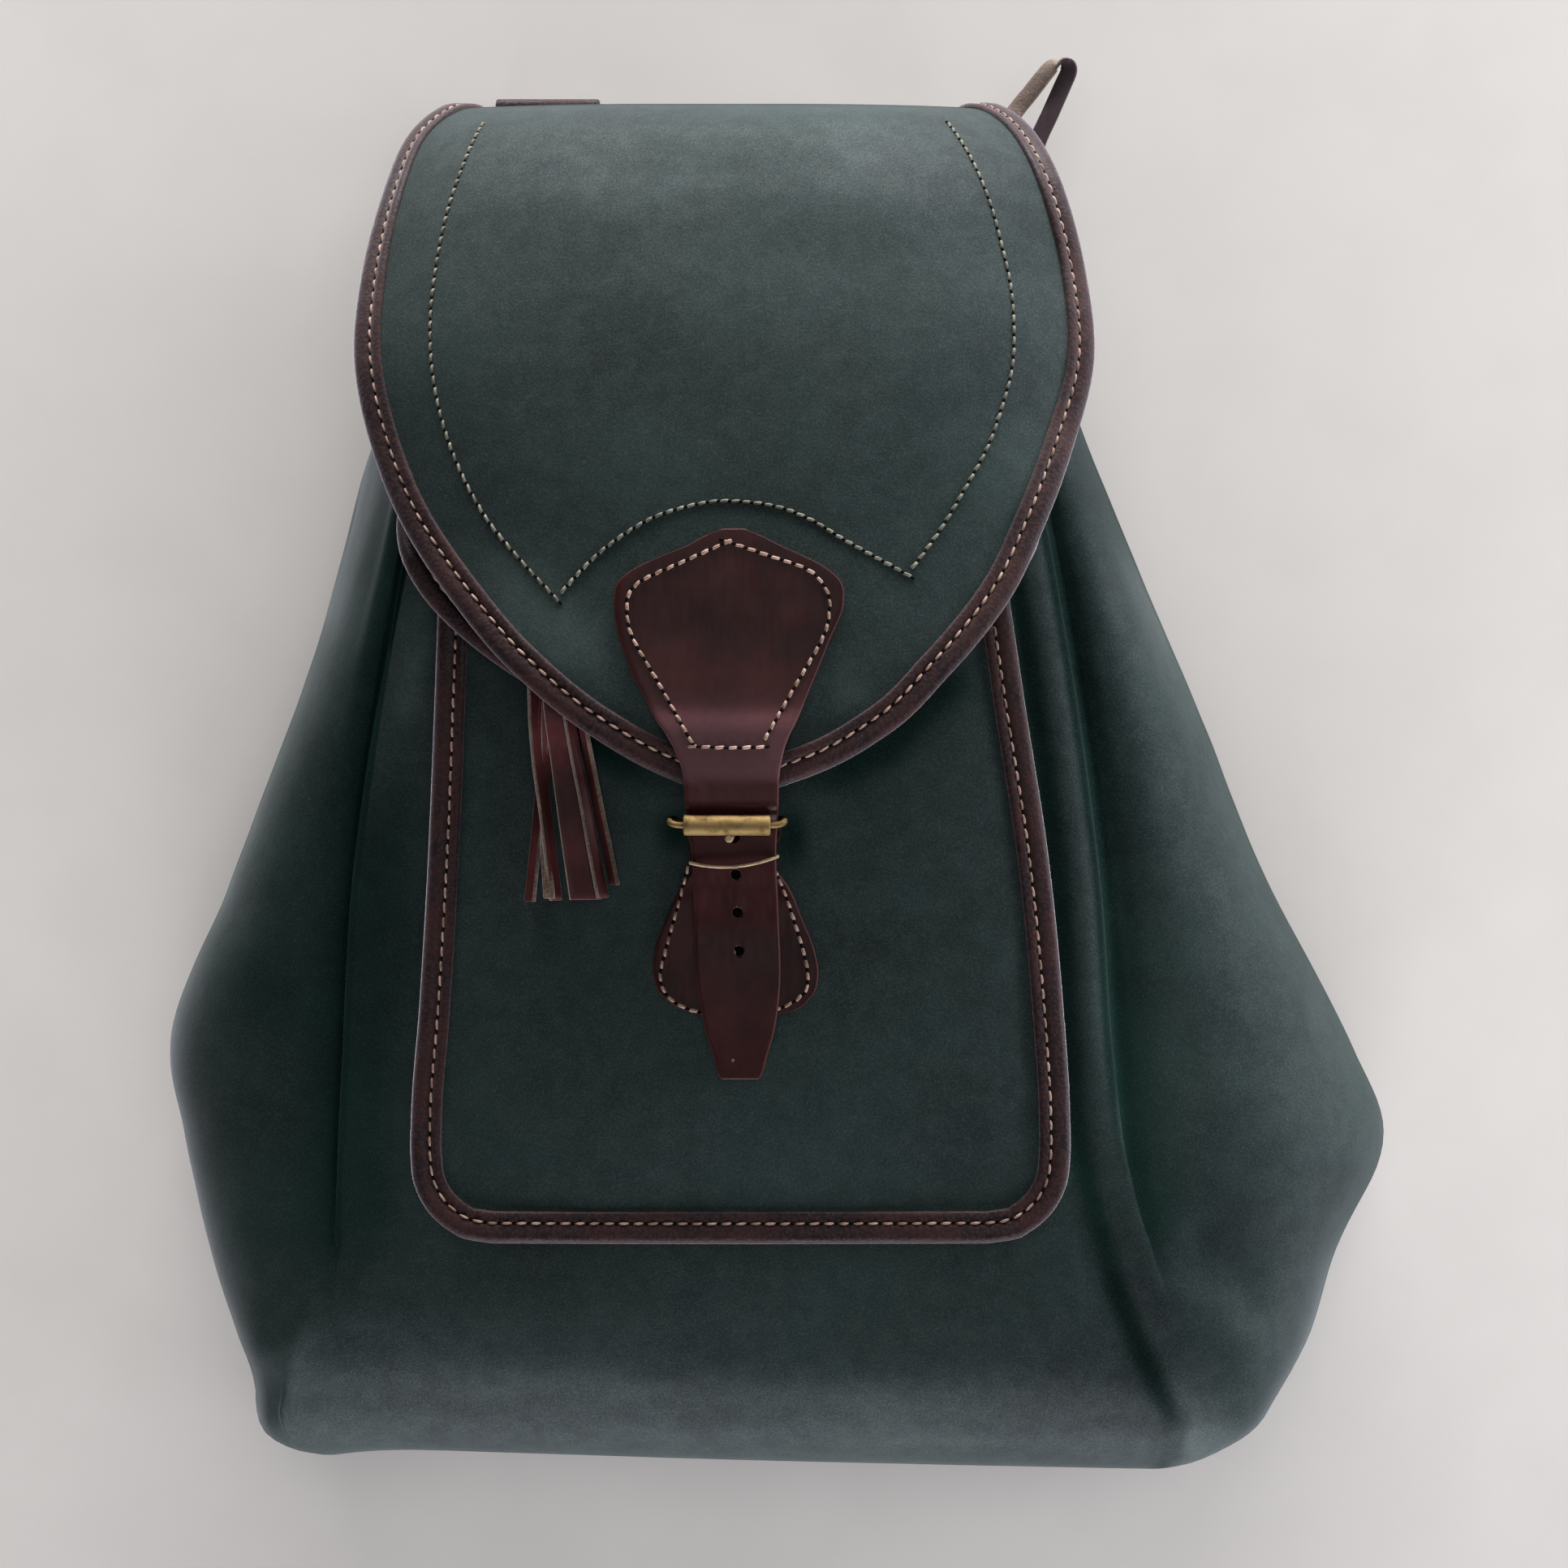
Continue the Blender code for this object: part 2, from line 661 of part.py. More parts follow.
def make_back_panel(grid, finish, into):
    """The flat back, between the seams of the front and sides."""
    inset = np.array([0.2 + SEAM_GAP, 0.0, 0.0])
    rows = []
    for row in reversed(grid):
        left, right = row[0] + inset, row[-1] - inset
        across = [left + (right - left) * share for share in (0.0, 0.5, 1.0)]
        rows.append([(x, y, BACK_Z) for x, y, _ in across])
    add_sheet("back_panel", np.array(rows), BODY_WALL, finish, into)


def make_base_panel(grid, finish, into):
    """The flat base, which closes the end of the front and sides above the back panel."""
    rim = grid[-1]
    along = unit(np.gradient(rim, axis=0) * np.array([1.0, 0.0, 1.0]))
    inward = np.stack([along[:, 2], np.zeros(len(rim)), -along[:, 0]], axis=1)
    above_wall = np.clip(inward[:, 2:], 0.0, 1.0)
    outline = rim + inward * (2 * SEAM_GAP + 1.3 * BODY_WALL * above_wall)
    outline[:, 2] = np.maximum(outline[:, 2], BACK_Z + 2 * SEAM_GAP)
    outline[[0, -1]] = rim[[0, -1]]
    outline[[0, 1, -2, -1], 2] = BACK_Z + BODY_WALL + 2 * SEAM_GAP
    inner = outline + np.array([0.0, BASE_WALL, 0.0])
    add_loft("base_panel", [outline, inner], finish, into)


def make_pocket(finish, binding_finish, into):
    """The pocket's front, its binding and the upright gusset that it stands on."""
    grid = leaf_grid(POCKET, POCKET_ROWS_Y, LEAF_COLUMNS, pocket_height)
    add_sheet("pocket_front", grid, POCKET_WALL, finish, into)
    points, inward, facing = rim_of(grid)
    add_loft("pocket_binding", binding_sections(points, inward, facing, POCKET_WALL),
             binding_finish, into)
    under_binding = POCKET_WALL + BINDING_GAP + BINDING_WALL + SEAM_GAP
    sections = []
    for point, into_pocket in zip(points, inward):
        outer = point + into_pocket * GUSSET_INSET
        inner = point + into_pocket * (GUSSET_INSET + POCKET_WALL)
        section = []
        for place in (outer, inner):
            foot = front_height(place[0], place[1]) + GUSSET_FOOT_GAP
            section.append((place[0], place[1], foot))
        for place in (inner, outer):
            section.append((place[0], place[1], point[2] - under_binding))
        sections.append(section)
    add_loft("pocket_gusset", sections, finish, into)


def make_lid(finish, binding_finish, into):
    grid = leaf_grid(LID, LID_ROWS_Y, LEAF_COLUMNS, lid_height)
    add_sheet("pocket_lid", grid, LID_WALL, finish, into)
    bound = grid[LID_BOUND_ROW:]
    add_loft("lid_binding", binding_sections(*rim_of(bound), LID_WALL), binding_finish, into)


def make_flap(finish, binding_finish, into):
    grid = np.array([
        [flap_point(along, side) for side in np.linspace(-1.0, 1.0, FLAP_COLUMNS)]
        for along in FLAP_ALONGS
    ])
    add_sheet("flap", grid, FLAP_WALL, finish, into)
    add_loft("flap_binding", binding_sections(*rim_of(grid[1:]), FLAP_WALL), binding_finish, into)


def make_strap(finish, into, cutters):
    """The upper patch with the strap that runs on from it, and the strap's holes."""
    grid = leaf_grid(STRAP, STRAP_ROWS_Y, STRAP_COLUMNS, strap_height)
    strap = add_sheet("flap_strap", grid, STRAP_WALL, finish, into)
    for number, y in enumerate(STRAP_HOLE_YS):
        x = strap_middle(y)
        centre = (x, y, strap_underside(x, y) + STRAP_WALL / 2)
        hole = add_cutter(f"strap_hole_{number + 1}", centre, (0, 0, CUTTER_HEIGHT), cutters,
                          round_radius=STRAP_HOLE_RADIUS)
        cut(strap, hole)


def patch_height(x, y):
    return pocket_height(x, y) + PATCH_LIFT.at("lift", y)


def make_patch(finish, into, cutters):
    """The lower patch, whose top folds round the buckle's heel bar and back under itself."""
    grid = leaf_grid(PATCH, PATCH_ROWS_Y, STRAP_COLUMNS, patch_height)
    middle = strap_middle(HEEL_Y)
    heel = heel_height()
    turn_radius = PATCH_LIFT.at("lift", HEEL_Y) - HEEL_LIFT
    rows = [list(row) for row in grid]
    for turn in np.radians([30, 60, 90, 120, 150, 180]):
        y = HEEL_Y + turn_radius * math.sin(turn)
        z = heel + turn_radius * math.cos(turn)
        rows.append([(x, y, z) for x in grid[-1][:, 0]])
    for y in PATCH_UNDER_YS:
        rows.append([(x, y, heel - turn_radius) for x in grid[-1][:, 0]])
    rows = np.array(rows)[:, ::-1]
    patch = add_sheet("buckle_patch", rows, PATCH_WALL, finish, into)
    slot = add_cutter("prong_slot", (middle, HEEL_Y + 0.4, heel), PRONG_SLOT, cutters)
    cut(patch, slot)


def heel_height():
    return pocket_height(strap_middle(HEEL_Y), HEEL_Y) + HEEL_LIFT


def roller_height():
    middle = strap_middle(ROLLER_Y)
    return strap_height(middle, ROLLER_Y) + ROLLER_RADIUS + SEAM_GAP


def rounded_rectangle(width, height, corner, steps):
    """Points round a rectangle with round corners, in its own plane."""
    points = []
    for turn in range(4):
        cx = (width / 2 - corner) * (1 if turn in (0, 3) else -1)
        cy = (height / 2 - corner) * (1 if turn in (0, 1) else -1)
        for step in range(steps + 1):
            angle = math.radians(90.0 * (turn + step / steps))
            points.append((cx + corner * math.cos(angle), cy + corner * math.sin(angle)))
    return points


def make_buckle(finish, into):
    """A wire frame whose lower bar lies in the patch's fold, a roller on its upper bar and a
    prong that comes up through the strap and leans on the roller."""
    middle = strap_middle(ROLLER_Y)
    top = np.array([middle, ROLLER_Y, roller_height()])
    heel = np.array([middle, HEEL_Y, heel_height()])
    upright = top - heel
    centre = (top + heel) / 2
    span = np.linalg.norm(upright)
    upright = upright / span
    loop = [
        centre + np.array([x, 0.0, 0.0]) + upright * y
        for x, y in rounded_rectangle(FRAME_WIDTH - 2 * FRAME_WIRE, span, FRAME_CORNER, 4)
    ]
    add_wire("buckle_frame", loop, FRAME_WIRE, finish, into, closed=True)

    hole = FRAME_WIRE + RUNNING_GAP
    rim = ROLLER_RADIUS - ROLLER_BEVEL
    profile = ((hole, 0.0), (rim, 0.0), (ROLLER_RADIUS, ROLLER_BEVEL),
               (ROLLER_RADIUS, ROLLER_LENGTH - ROLLER_BEVEL), (rim, ROLLER_LENGTH),
               (hole, ROLLER_LENGTH))
    turns = np.linspace(0.0, 2 * math.pi, ROLLER_SIDES, endpoint=False)
    start = top - np.array([ROLLER_LENGTH / 2, 0.0, 0.0])
    rings = [
        [start + np.array([along, radius * math.cos(turn), radius * math.sin(turn)])
         for turn in turns]
        for radius, along in profile
    ]
    add_ring_solid("buckle_roller", rings, finish, into)

    reach = FRAME_WIRE + RUNNING_GAP + PRONG_WIRE
    prong = []
    for degrees in range(250, -1, -25):
        angle = math.radians(degrees)
        prong.append(heel + np.array([0.0, reach * math.cos(angle), -reach * math.sin(angle)]))
    tip = top - np.array([0.0, ROLLER_RADIUS + PRONG_WIRE + 0.5, 0.6])
    foot = prong[-1]
    prong.extend(foot + (tip - foot) * share for share in (0.35, 0.7, 1.0))
    add_wire("buckle_prong", prong, PRONG_WIRE, finish, into)


def add_ring_solid(name, sections, finish, into):
    """A turned tube through rings that close on themselves, as a pipe's wall does."""
    sections = np.asarray(sections)
    count, around = sections.shape[:2]
    faces = [
        (i * around + j, ((i + 1) % count) * around + j,
         ((i + 1) % count) * around + (j + 1) % around, i * around + (j + 1) % around)
        for i in range(count)
        for j in range(around)
    ]
    obj = add_mesh(name, sections.reshape(-1, 3), faces, finish, into)
    shape = bmesh.new()
    shape.from_mesh(obj.data)
    bmesh.ops.recalc_face_normals(shape, faces=shape.faces)
    shape.to_mesh(obj.data)
    shape.free()


def make_keeper(finish, into):
    """The wire loop that holds the strap's end down, bowed towards that end."""
    middle = strap_middle(KEEPER_Y)
    half = STRAP.at("right", KEEPER_Y) - middle + 0.5 + KEEPER_WIRE
    fold = pocket_height(middle, KEEPER_Y) + SEAM_GAP + PATCH_WALL
    low = fold + SEAM_GAP + KEEPER_WIRE
    high = strap_height(middle, KEEPER_Y - 2.0) + SEAM_GAP + 2 * KEEPER_WIRE
    loop = []
    for side in np.linspace(-1.0, 1.0, 9):
        bow = KEEPER_BOW * (1 - side * side)
        loop.append((middle + half * side, KEEPER_Y - bow, high - 0.5 * side * side))
    for side, share in ((1.0, 0.66), (1.0, 0.33)):
        loop.append((middle + half * side, KEEPER_Y, low + (high - low) * share))
    for side in np.linspace(1.0, -1.0, 5):
        loop.append((middle + half * side, KEEPER_Y, low))
    for side, share in ((-1.0, 0.33), (-1.0, 0.66)):
        loop.append((middle + half * side, KEEPER_Y, low + (high - low) * share))
    add_wire("strap_keeper", loop, KEEPER_WIRE, finish, into, closed=True)


def tassel_bed(x, y):
    """The height at which the tassel's hanger lies over the lid and its binding."""
    over_binding = 1 - eased((y - LID.keys[0] - 30.0) / 8.0)
    return lid_height(x, y) + (BINDING_GAP + BINDING_WALL) * over_binding + HANGER_GAP


def make_tassel(finish, into, helpers):
    """Leather strips under the flap's edge, cut from a hanger that lies on the lid."""
    rows = []
    for y in HANGER_ROWS_Y:
        x, half = HANGER.at("x", y), HANGER.at("half", y)
        row = []
        for side in (-1.0, -0.33, 0.33, 1.0):
            place = x + half * side
            row.append((place, y, tassel_bed(place, max(y, HANGER_HEAD_Y)) + STRIP_WALL))
        rows.append(row)
    tassel = add_sheet("tassel", np.array(rows), STRIP_WALL, finish, into)
    for number, (x_top, x_end, wide_top, wide_end, layer) in enumerate(STRIPS):
        sections = []
        for y in STRIP_YS:
            if y == STRIP_YS[-1]:
                y = y - STRIP_UNEVEN * (number % 2)
            share = (HANGER_HEAD_Y - y) / (HANGER_HEAD_Y - STRIP_YS[-1])
            x = x_top + (x_end - x_top) * share ** 1.2
            half = (wide_top + (wide_end - wide_top) * share) / 2
            start = tassel_bed(x, HANGER_HEAD_Y) + STRIP_SINK
            rest = pocket_height(x, y) + HANGER_GAP + STRIP_LAYER * layer
            low = start + (rest - start) * eased((STRIP_DROP_Y - y) / STRIP_DROP_LENGTH)
            sections.append([(x - half, y, low), (x + half, y, low),
                             (x + half, y, low + STRIP_WALL), (x - half, y, low + STRIP_WALL)])
        strip = add_loft(f"tassel_strip_{number + 1}", sections, finish, helpers)
        strip.hide_render = True
        strip.display_type = "WIRE"
        join = tassel.modifiers.new("Join", "BOOLEAN")
        join.operation = "UNION"
        join.object = strip


def make_drawstring(finish, into):
    add_wire("drawstring", curve_through(LACE_ROUTE, 2), LACE_RADIUS, finish, into)


def make_shoulder_strap(name, top_x, end_x, reach, finish, into):
    """A flat strap that folds over beyond the bag's top and runs back under it."""
    rows = []
    for along in SHOULDER_ALONGS:
        short = (SHOULDER_REACH - reach) * eased(along / 60.0)
        y = SHOULDER_ROUTE.at("y", along) - short
        rows.append((top_x, y, SHOULDER_ROUTE.at("z", along)))
    start = rows[-1][1]
    for share in (0.25, 0.5, 0.75, 0.93, 1.0):
        x = top_x + (end_x - top_x) * share
        y = start + (SHOULDER_END_Y - start) * share
        rows.append((x, y, SHOULDER_LAID_Z + SHOULDER_RISE * eased((share - 0.9) / 0.1)))
    rows = np.array(rows)
    along = unit(np.gradient(rows[:, 1:], axis=0))
    sections = []
    for (x, y, z), (run_y, run_z) in zip(rows, along):
        lift_y, lift_z = run_z * SHOULDER_WALL / 2, -run_y * SHOULDER_WALL / 2
        sections.append([
            (x - SHOULDER_HALF, y + lift_y, z + lift_z),
            (x + SHOULDER_HALF, y + lift_y, z + lift_z),
            (x + SHOULDER_HALF, y - lift_y, z - lift_z),
            (x - SHOULDER_HALF, y - lift_y, z - lift_z),
        ])
    add_loft(name, sections, finish, into)


def main():
    clear_scene()
    rucksack = collection("Rucksack")
    helpers = collection("Cutters", helper=True)
    nubuck = material("Nubuck", (0.030, 0.048, 0.046), 0.85)
    smooth_leather = material("Smooth leather", (0.052, 0.022, 0.021), 0.42)
    brass = material("Brass", (0.47, 0.34, 0.12), 0.32, 1.0)
    lace = material("Lace leather", (0.16, 0.09, 0.06), 0.7)

    grid = make_body(nubuck, rucksack)
    make_back_panel(grid, nubuck, rucksack)
    make_base_panel(grid, nubuck, rucksack)
    make_pocket(nubuck, smooth_leather, rucksack)
    make_lid(nubuck, smooth_leather, rucksack)
    make_flap(nubuck, smooth_leather, rucksack)
    make_strap(smooth_leather, rucksack, helpers)
    make_patch(smooth_leather, rucksack, helpers)
    make_buckle(brass, rucksack)
    make_keeper(brass, rucksack)
    make_tassel(smooth_leather, rucksack, helpers)
    make_drawstring(lace, rucksack)
    for name, top_x, end_x, reach in SHOULDER_STRAPS:
        make_shoulder_strap(name, top_x, end_x, reach, nubuck, rucksack)


main()
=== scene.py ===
import math

import bpy
import numpy as np
from mathutils import Matrix


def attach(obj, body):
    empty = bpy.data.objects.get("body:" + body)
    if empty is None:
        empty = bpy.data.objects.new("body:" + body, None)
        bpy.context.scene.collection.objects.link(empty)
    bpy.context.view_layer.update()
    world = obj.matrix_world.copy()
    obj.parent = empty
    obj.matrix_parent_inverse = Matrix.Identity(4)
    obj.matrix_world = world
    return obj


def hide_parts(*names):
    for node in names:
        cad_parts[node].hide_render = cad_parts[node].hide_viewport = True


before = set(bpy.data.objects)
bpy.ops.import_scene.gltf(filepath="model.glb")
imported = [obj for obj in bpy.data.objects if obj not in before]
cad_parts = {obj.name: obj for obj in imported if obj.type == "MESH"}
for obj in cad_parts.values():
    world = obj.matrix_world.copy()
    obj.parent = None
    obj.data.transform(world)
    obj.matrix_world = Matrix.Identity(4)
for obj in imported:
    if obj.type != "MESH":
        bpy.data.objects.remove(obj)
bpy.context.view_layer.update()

mm = 0.001
scene = bpy.context.scene
print("frame loaded:", len(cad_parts), "nodes")

view = {
    "lens": 60.0,
    "place": (0.9, -6.3, 850.0),      # straight above, the photo's top towards +Y
    "toneCurve": "Standard",
}
cameraData = bpy.data.cameras.new("camera")
cameraData.lens = view["lens"]
camera = bpy.data.objects.new("camera", cameraData)
camera.location = [side * mm for side in view["place"]]
scene.collection.objects.link(camera)
scene.camera = camera
scene.view_settings.view_transform = view["toneCurve"]


# Small tools: tables read along smooth curves, curves through points, sheets and tubes

def makeTable(names, rows):
    rows = np.array(rows, float)
    keys = rows[:, 0]
    found = {"keys": keys}
    for place, name in enumerate(names):
        found[name] = (rows[:, place], np.gradient(rows[:, place], keys))
    return found


def read(table, name, key):
    keys = table["keys"]
    value, slope = table[name]
    key = np.clip(key, keys[0], keys[-1])
    i = np.clip(np.searchsorted(keys, key, side="right") - 1, 0, len(keys) - 2)
    step = keys[i + 1] - keys[i]
    t = (key - keys[i]) / step
    return (value[i] * (1 + 2 * t) * (1 - t) ** 2 + slope[i] * step * t * (1 - t) ** 2
            + value[i + 1] * t * t * (3 - 2 * t) - slope[i + 1] * step * t * t * (1 - t))


def eased(t):
    t = np.clip(t, 0.0, 1.0)
    return t * t * (3.0 - 2.0 * t)


def unit(vectors):
    return vectors / np.maximum(np.linalg.norm(vectors, axis=-1, keepdims=True), 1e-9)


def nearPlace(off, width):
    # 1 at a place, and falling to 0 around it
    return np.exp(-(off / width) ** 2)


def sidesOf(table, key):
    return read(table, "left", key), read(table, "right", key)


def sideOf(left, right, x):
    # -1 at the left edge to 1 at the right one, and the way back
    return (2 * x - left - right) / (right - left)


def across(left, right, side):
    return (left + right) / 2 + side * (right - left) / 2


def lengthsAlong(points):
    return np.concatenate([[0.0], np.cumsum(np.linalg.norm(np.diff(points, axis=0), axis=1))])


def ringAngles(count):
    return np.linspace(0.0, 2 * math.pi, count, endpoint=False)


def circleAt(x, y, z, radius, count):
    angles = ringAngles(count)
    return np.stack([x + radius * np.cos(angles), y + radius * np.sin(angles),
                     np.full(count, z)], axis=1)


def smoothThrough(points, perSpan):
    # Rows of features (rows x features x axes), joined by centripetal curves
    points = np.asarray(points, float)
    padded = np.concatenate([2 * points[:, :1] - points[:, 1:2], points,
                             2 * points[:, -1:] - points[:, -2:-1]], axis=1)
    p0, p1, p2, p3 = padded[:, :-3], padded[:, 1:-2], padded[:, 2:-1], padded[:, 3:]
    t1 = np.linalg.norm(p1 - p0, axis=-1, keepdims=True) ** 0.5
    t2 = t1 + np.linalg.norm(p2 - p1, axis=-1, keepdims=True) ** 0.5
    t3 = t2 + np.linalg.norm(p3 - p2, axis=-1, keepdims=True) ** 0.5
    steps = []
    for step in range(perSpan):
        t = t1 + (t2 - t1) * step / perSpan
        a1 = p0 + (p1 - p0) * t / t1
        a2 = p1 + (p2 - p1) * (t - t1) / (t2 - t1)
        a3 = p2 + (p3 - p2) * (t - t2) / (t3 - t2)
        b1 = a1 + (a2 - a1) * t / t2
        b2 = a2 + (a3 - a2) * (t - t1) / (t3 - t1)
        steps.append(b1 + (b2 - b1) * (t - t1) / (t2 - t1))
    found = np.stack(steps, axis=2).reshape(len(points), -1, points.shape[-1])
    return np.concatenate([found, points[:, -1:]], axis=1)


def curveThrough(points, perSpan):
    return smoothThrough([points], perSpan)[0]


def evenSteps(points, step, *others):
    # Points at even steps along a line, with anything else that goes with them
    along = lengthsAlong(points)
    places = np.linspace(0.0, along[-1], max(2, int(round(along[-1] / step)) + 1))
    return [np.stack([np.interp(places, along, values[:, axis])
                      for axis in range(values.shape[1])], axis=1)
            for values in (points, *others)]


def softened(values, reach):
    # Running average along a line, reach points to each side
    weights = np.hanning(2 * reach + 3)[1:-1]
    padded = np.concatenate([values[:1].repeat(reach, 0), values, values[-1:].repeat(reach, 0)])
    return np.stack([np.convolve(padded[:, axis], weights / weights.sum(), "valid")
                     for axis in range(values.shape[1])], axis=1)


def waves(x, y, length, seed):
    # Smooth, random, repeatable unevenness of about -1 to 1, with waves of that length
    count = 9
    chance = np.random.default_rng(seed)
    total = np.zeros(np.broadcast(x, y).shape)
    for _ in range(count):
        turn, phase = chance.uniform(0, 2 * math.pi, 2)
        pace = 2 * math.pi / (length * chance.uniform(0.7, 1.6))
        total = total + np.sin((x * math.cos(turn) + y * math.sin(turn)) * pace + phase)
    return total / count ** 0.5 / 1.4


def nearLine(x, y, route, width, fade):
    # 1 on a route across the surface, falling to 0 at its sides and over its two ends
    route = np.array(route, float)
    ends = lengthsAlong(route)
    best = np.full(np.shape(x), 1e9)
    place = np.zeros(np.shape(x))
    for i in range(len(route) - 1):
        run = route[i + 1] - route[i]
        share = ((x - route[i, 0]) * run[0] + (y - route[i, 1]) * run[1]) / (run @ run)
        share = np.clip(share, 0.0, 1.0)
        off = np.hypot(x - route[i, 0] - run[0] * share, y - route[i, 1] - run[1] * share)
        nearer = off < best
        best = np.where(nearer, off, best)
        place = np.where(nearer, ends[i] + share * (ends[i + 1] - ends[i]), place)
    taper = eased(place / fade) * eased((ends[-1] - place) / fade)
    return nearPlace(best, width) * (0.15 + 0.85 * taper)


def marked(x, y, marks):
    # Marks on a surface added up, each a route, its width, its fade at both ends and its strength
    total = np.zeros(np.shape(x))
    for route, width, fade, strength in marks:
        total = total + strength * nearLine(x, y, route, width, fade)
    return total


def normalsOf(grid):
    return unit(np.cross(np.gradient(grid, axis=0), np.gradient(grid, axis=1)))


sharpFrom = 40.0            # degrees between two faces from which their edge shows as an edge


def makeMesh(name, points, faces, finishes):
    mesh = bpy.data.meshes.new(name)
    mesh.from_pydata((np.asarray(points, float).reshape(-1, 3) * mm).tolist(), [], faces)
    mesh.validate()
    for finish in finishes:
        mesh.materials.append(finish)
    piece = bpy.data.objects.new(name, mesh)
    scene.collection.objects.link(piece)
    mesh.shade_smooth()
    mesh.set_sharp_from_angle(angle=math.radians(sharpFrom))
    return piece


def finishPiece(piece, slot, *nodes):
    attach(piece, "root")
    if nodes:
        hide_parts(*nodes)


def addValues(piece, name, values):
    piece.data.attributes.new(name, "FLOAT", "POINT").data.foreach_set(
        "value", np.asarray(values, np.float32).ravel())


def sheet(name, grid, wall, finishes, paintedLightAndWear=None):
    # An open surface with its wall under it. Rows run down the front, columns to the right.
    rows, columns = grid.shape[:2]
    faces = [(r * columns + c, (r + 1) * columns + c, (r + 1) * columns + c + 1,
              r * columns + c + 1) for r in range(rows - 1) for c in range(columns - 1)]
    piece = makeMesh(name, grid, faces, finishes)
    addValues(piece, "paintedLightAndWear", np.zeros((rows, columns)) if paintedLightAndWear is None else paintedLightAndWear)
    solidify = piece.modifiers.new("wall", "SOLIDIFY")
    solidify.thickness = wall * mm
    solidify.offset = -1.0
    if len(finishes) > 1:
        solidify.material_offset = 1
        solidify.material_offset_rim = 1
    return piece


def loft(name, rings, finishes, closed=False, paintedLightAndWear=None, finishOf=None):
    # A solid through rings of points, with capped ends unless it closes on itself
    rings = np.asarray(rings, float)
    count, around = rings.shape[:2]
    last = count if closed else count - 1
    faces = [(i * around + j, i * around + (j + 1) % around,
              (i + 1) % count * around + (j + 1) % around, (i + 1) % count * around + j)
             for i in range(last) for j in range(around)]
    sides = len(faces)
    if not closed:
        faces.append(tuple(reversed(range(around))))
        faces.append(tuple((count - 1) * around + j for j in range(around)))
    piece = makeMesh(name, rings, faces, finishes)
    if paintedLightAndWear is not None:
        addValues(piece, "paintedLightAndWear", paintedLightAndWear)
    if finishOf is not None:
        ends = len(faces) - sides
        chosen = [finishOf(i % around) for i in range(sides)] + [finishOf(-1)] * ends
        piece.data.polygons.foreach_set("material_index", chosen)
    # Faces look outwards when the solid's volume comes out positive
    corners = rings.reshape(-1, 3)
    volume = 0.0
    for face in piece.data.polygons:
        a = corners[face.vertices[0]]
        for b, c in zip(face.vertices[1:-1], face.vertices[2:]):
            volume += a @ np.cross(corners[b], corners[c])
    if volume < 0:
        piece.data.flip_normals()
    return piece


def slabRings(grid, wall, bulge):
    # Rings round a strap or patch of leather with rounded edges, from the grid of its face
    normals = normalsOf(grid)
    inner = grid - normals * wall
    middle = grid - normals * wall / 2
    right, left = unit(grid[:, -1] - grid[:, -2]), unit(grid[:, 0] - grid[:, 1])
    rows = [grid[:, c] for c in range(grid.shape[1])]
    turns = np.radians([62, 36, 12, -12, -36, -62])        # slab counts on six at each edge
    for turn in turns:
        rows.append(middle[:, -1] + right * bulge * math.cos(turn)
                    + normals[:, -1] * wall / 2 * math.sin(turn))
    rows += [inner[:, c] for c in reversed(range(grid.shape[1]))]
    for turn in reversed(turns):
        rows.append(middle[:, 0] + left * bulge * math.cos(turn)
                    + normals[:, 0] * wall / 2 * math.sin(turn))
    rings = np.stack(rows, axis=1)
    last = grid.shape[1] - 1
    columns = [*range(last + 1), *[last] * len(turns), *reversed(range(last + 1)),
               *[0] * len(turns)]
    ends = []
    for row, next_ in ((0, 1), (-1, -2)):
        out = unit(middle[row] - middle[next_]).mean(axis=0)
        flat, core = rings[row], middle[row][columns]
        extra = [core + (flat - core) * math.cos(turn) + out * bulge * math.sin(turn)
                 for turn in np.radians([30, 58, 80])]
        ends.append(extra)
    return np.stack([*reversed(ends[0]), *rings, *ends[1]])


def slab(name, grid, wall, bulge, finishes, finishOf=None):
    rings = slabRings(grid, wall, bulge)
    columns = grid.shape[1]
    # painted highlight: the edges take the paler edge colour, partly burnished leather and partly a
    # painted highlight
    edge = np.zeros(rings.shape[:2])
    edge[:, columns:columns + 6] = edge[:, 2 * columns + 6:] = 1.0
    edge[:3] = edge[-3:] = 1.0
    return loft(name, rings, finishes, paintedLightAndWear=edge, finishOf=finishOf)


def tubeRings(path, rolls, halfWide, halfThick, sides, power):
    # Rings round a path, rolled about it; power under 1 makes them flatter than an ellipse
    along = unit(np.gradient(path, axis=0))
    side = unit(np.cross(along, (0.0, 0.0, 1.0)))
    up = np.cross(side, along)
    turn = np.radians(rolls)[:, None]
    side, up = (side * np.cos(turn) + up * np.sin(turn),
                up * np.cos(turn) - side * np.sin(turn))
    angles = ringAngles(sides)
    wide = halfWide * np.sign(np.cos(angles)) * np.abs(np.cos(angles)) ** power
    thick = halfThick * np.sign(np.sin(angles)) * np.abs(np.sin(angles)) ** power
    return path[:, None] + side[:, None] * wide[:, None] + up[:, None] * thick[:, None]


def joinPieces(name, pieces):
    with bpy.context.temp_override(active_object=pieces[0], selected_editable_objects=pieces):
        bpy.ops.object.join()
    pieces[0].name = pieces[0].data.name = name
    return pieces[0]


# Materials. One function turns sRGB colours into linear ones, another adds a node with its
# settings and links, and the rest are made of those two.

def linear(code):
    values = [int(code[i:i + 2], 16) / 255 for i in (1, 3, 5)]
    curved = [v / 12.92 if v <= 0.04045 else ((v + 0.055) / 1.055) ** 2.4 for v in values]
    return (*curved, 1.0)


def addNode(tree, kind, settings=None, inputs=None):
    made = tree.nodes.new(kind)
    for name, value in (settings or {}).items():
        setattr(made, name, value)
    return fedWith(tree, made, inputs or {})


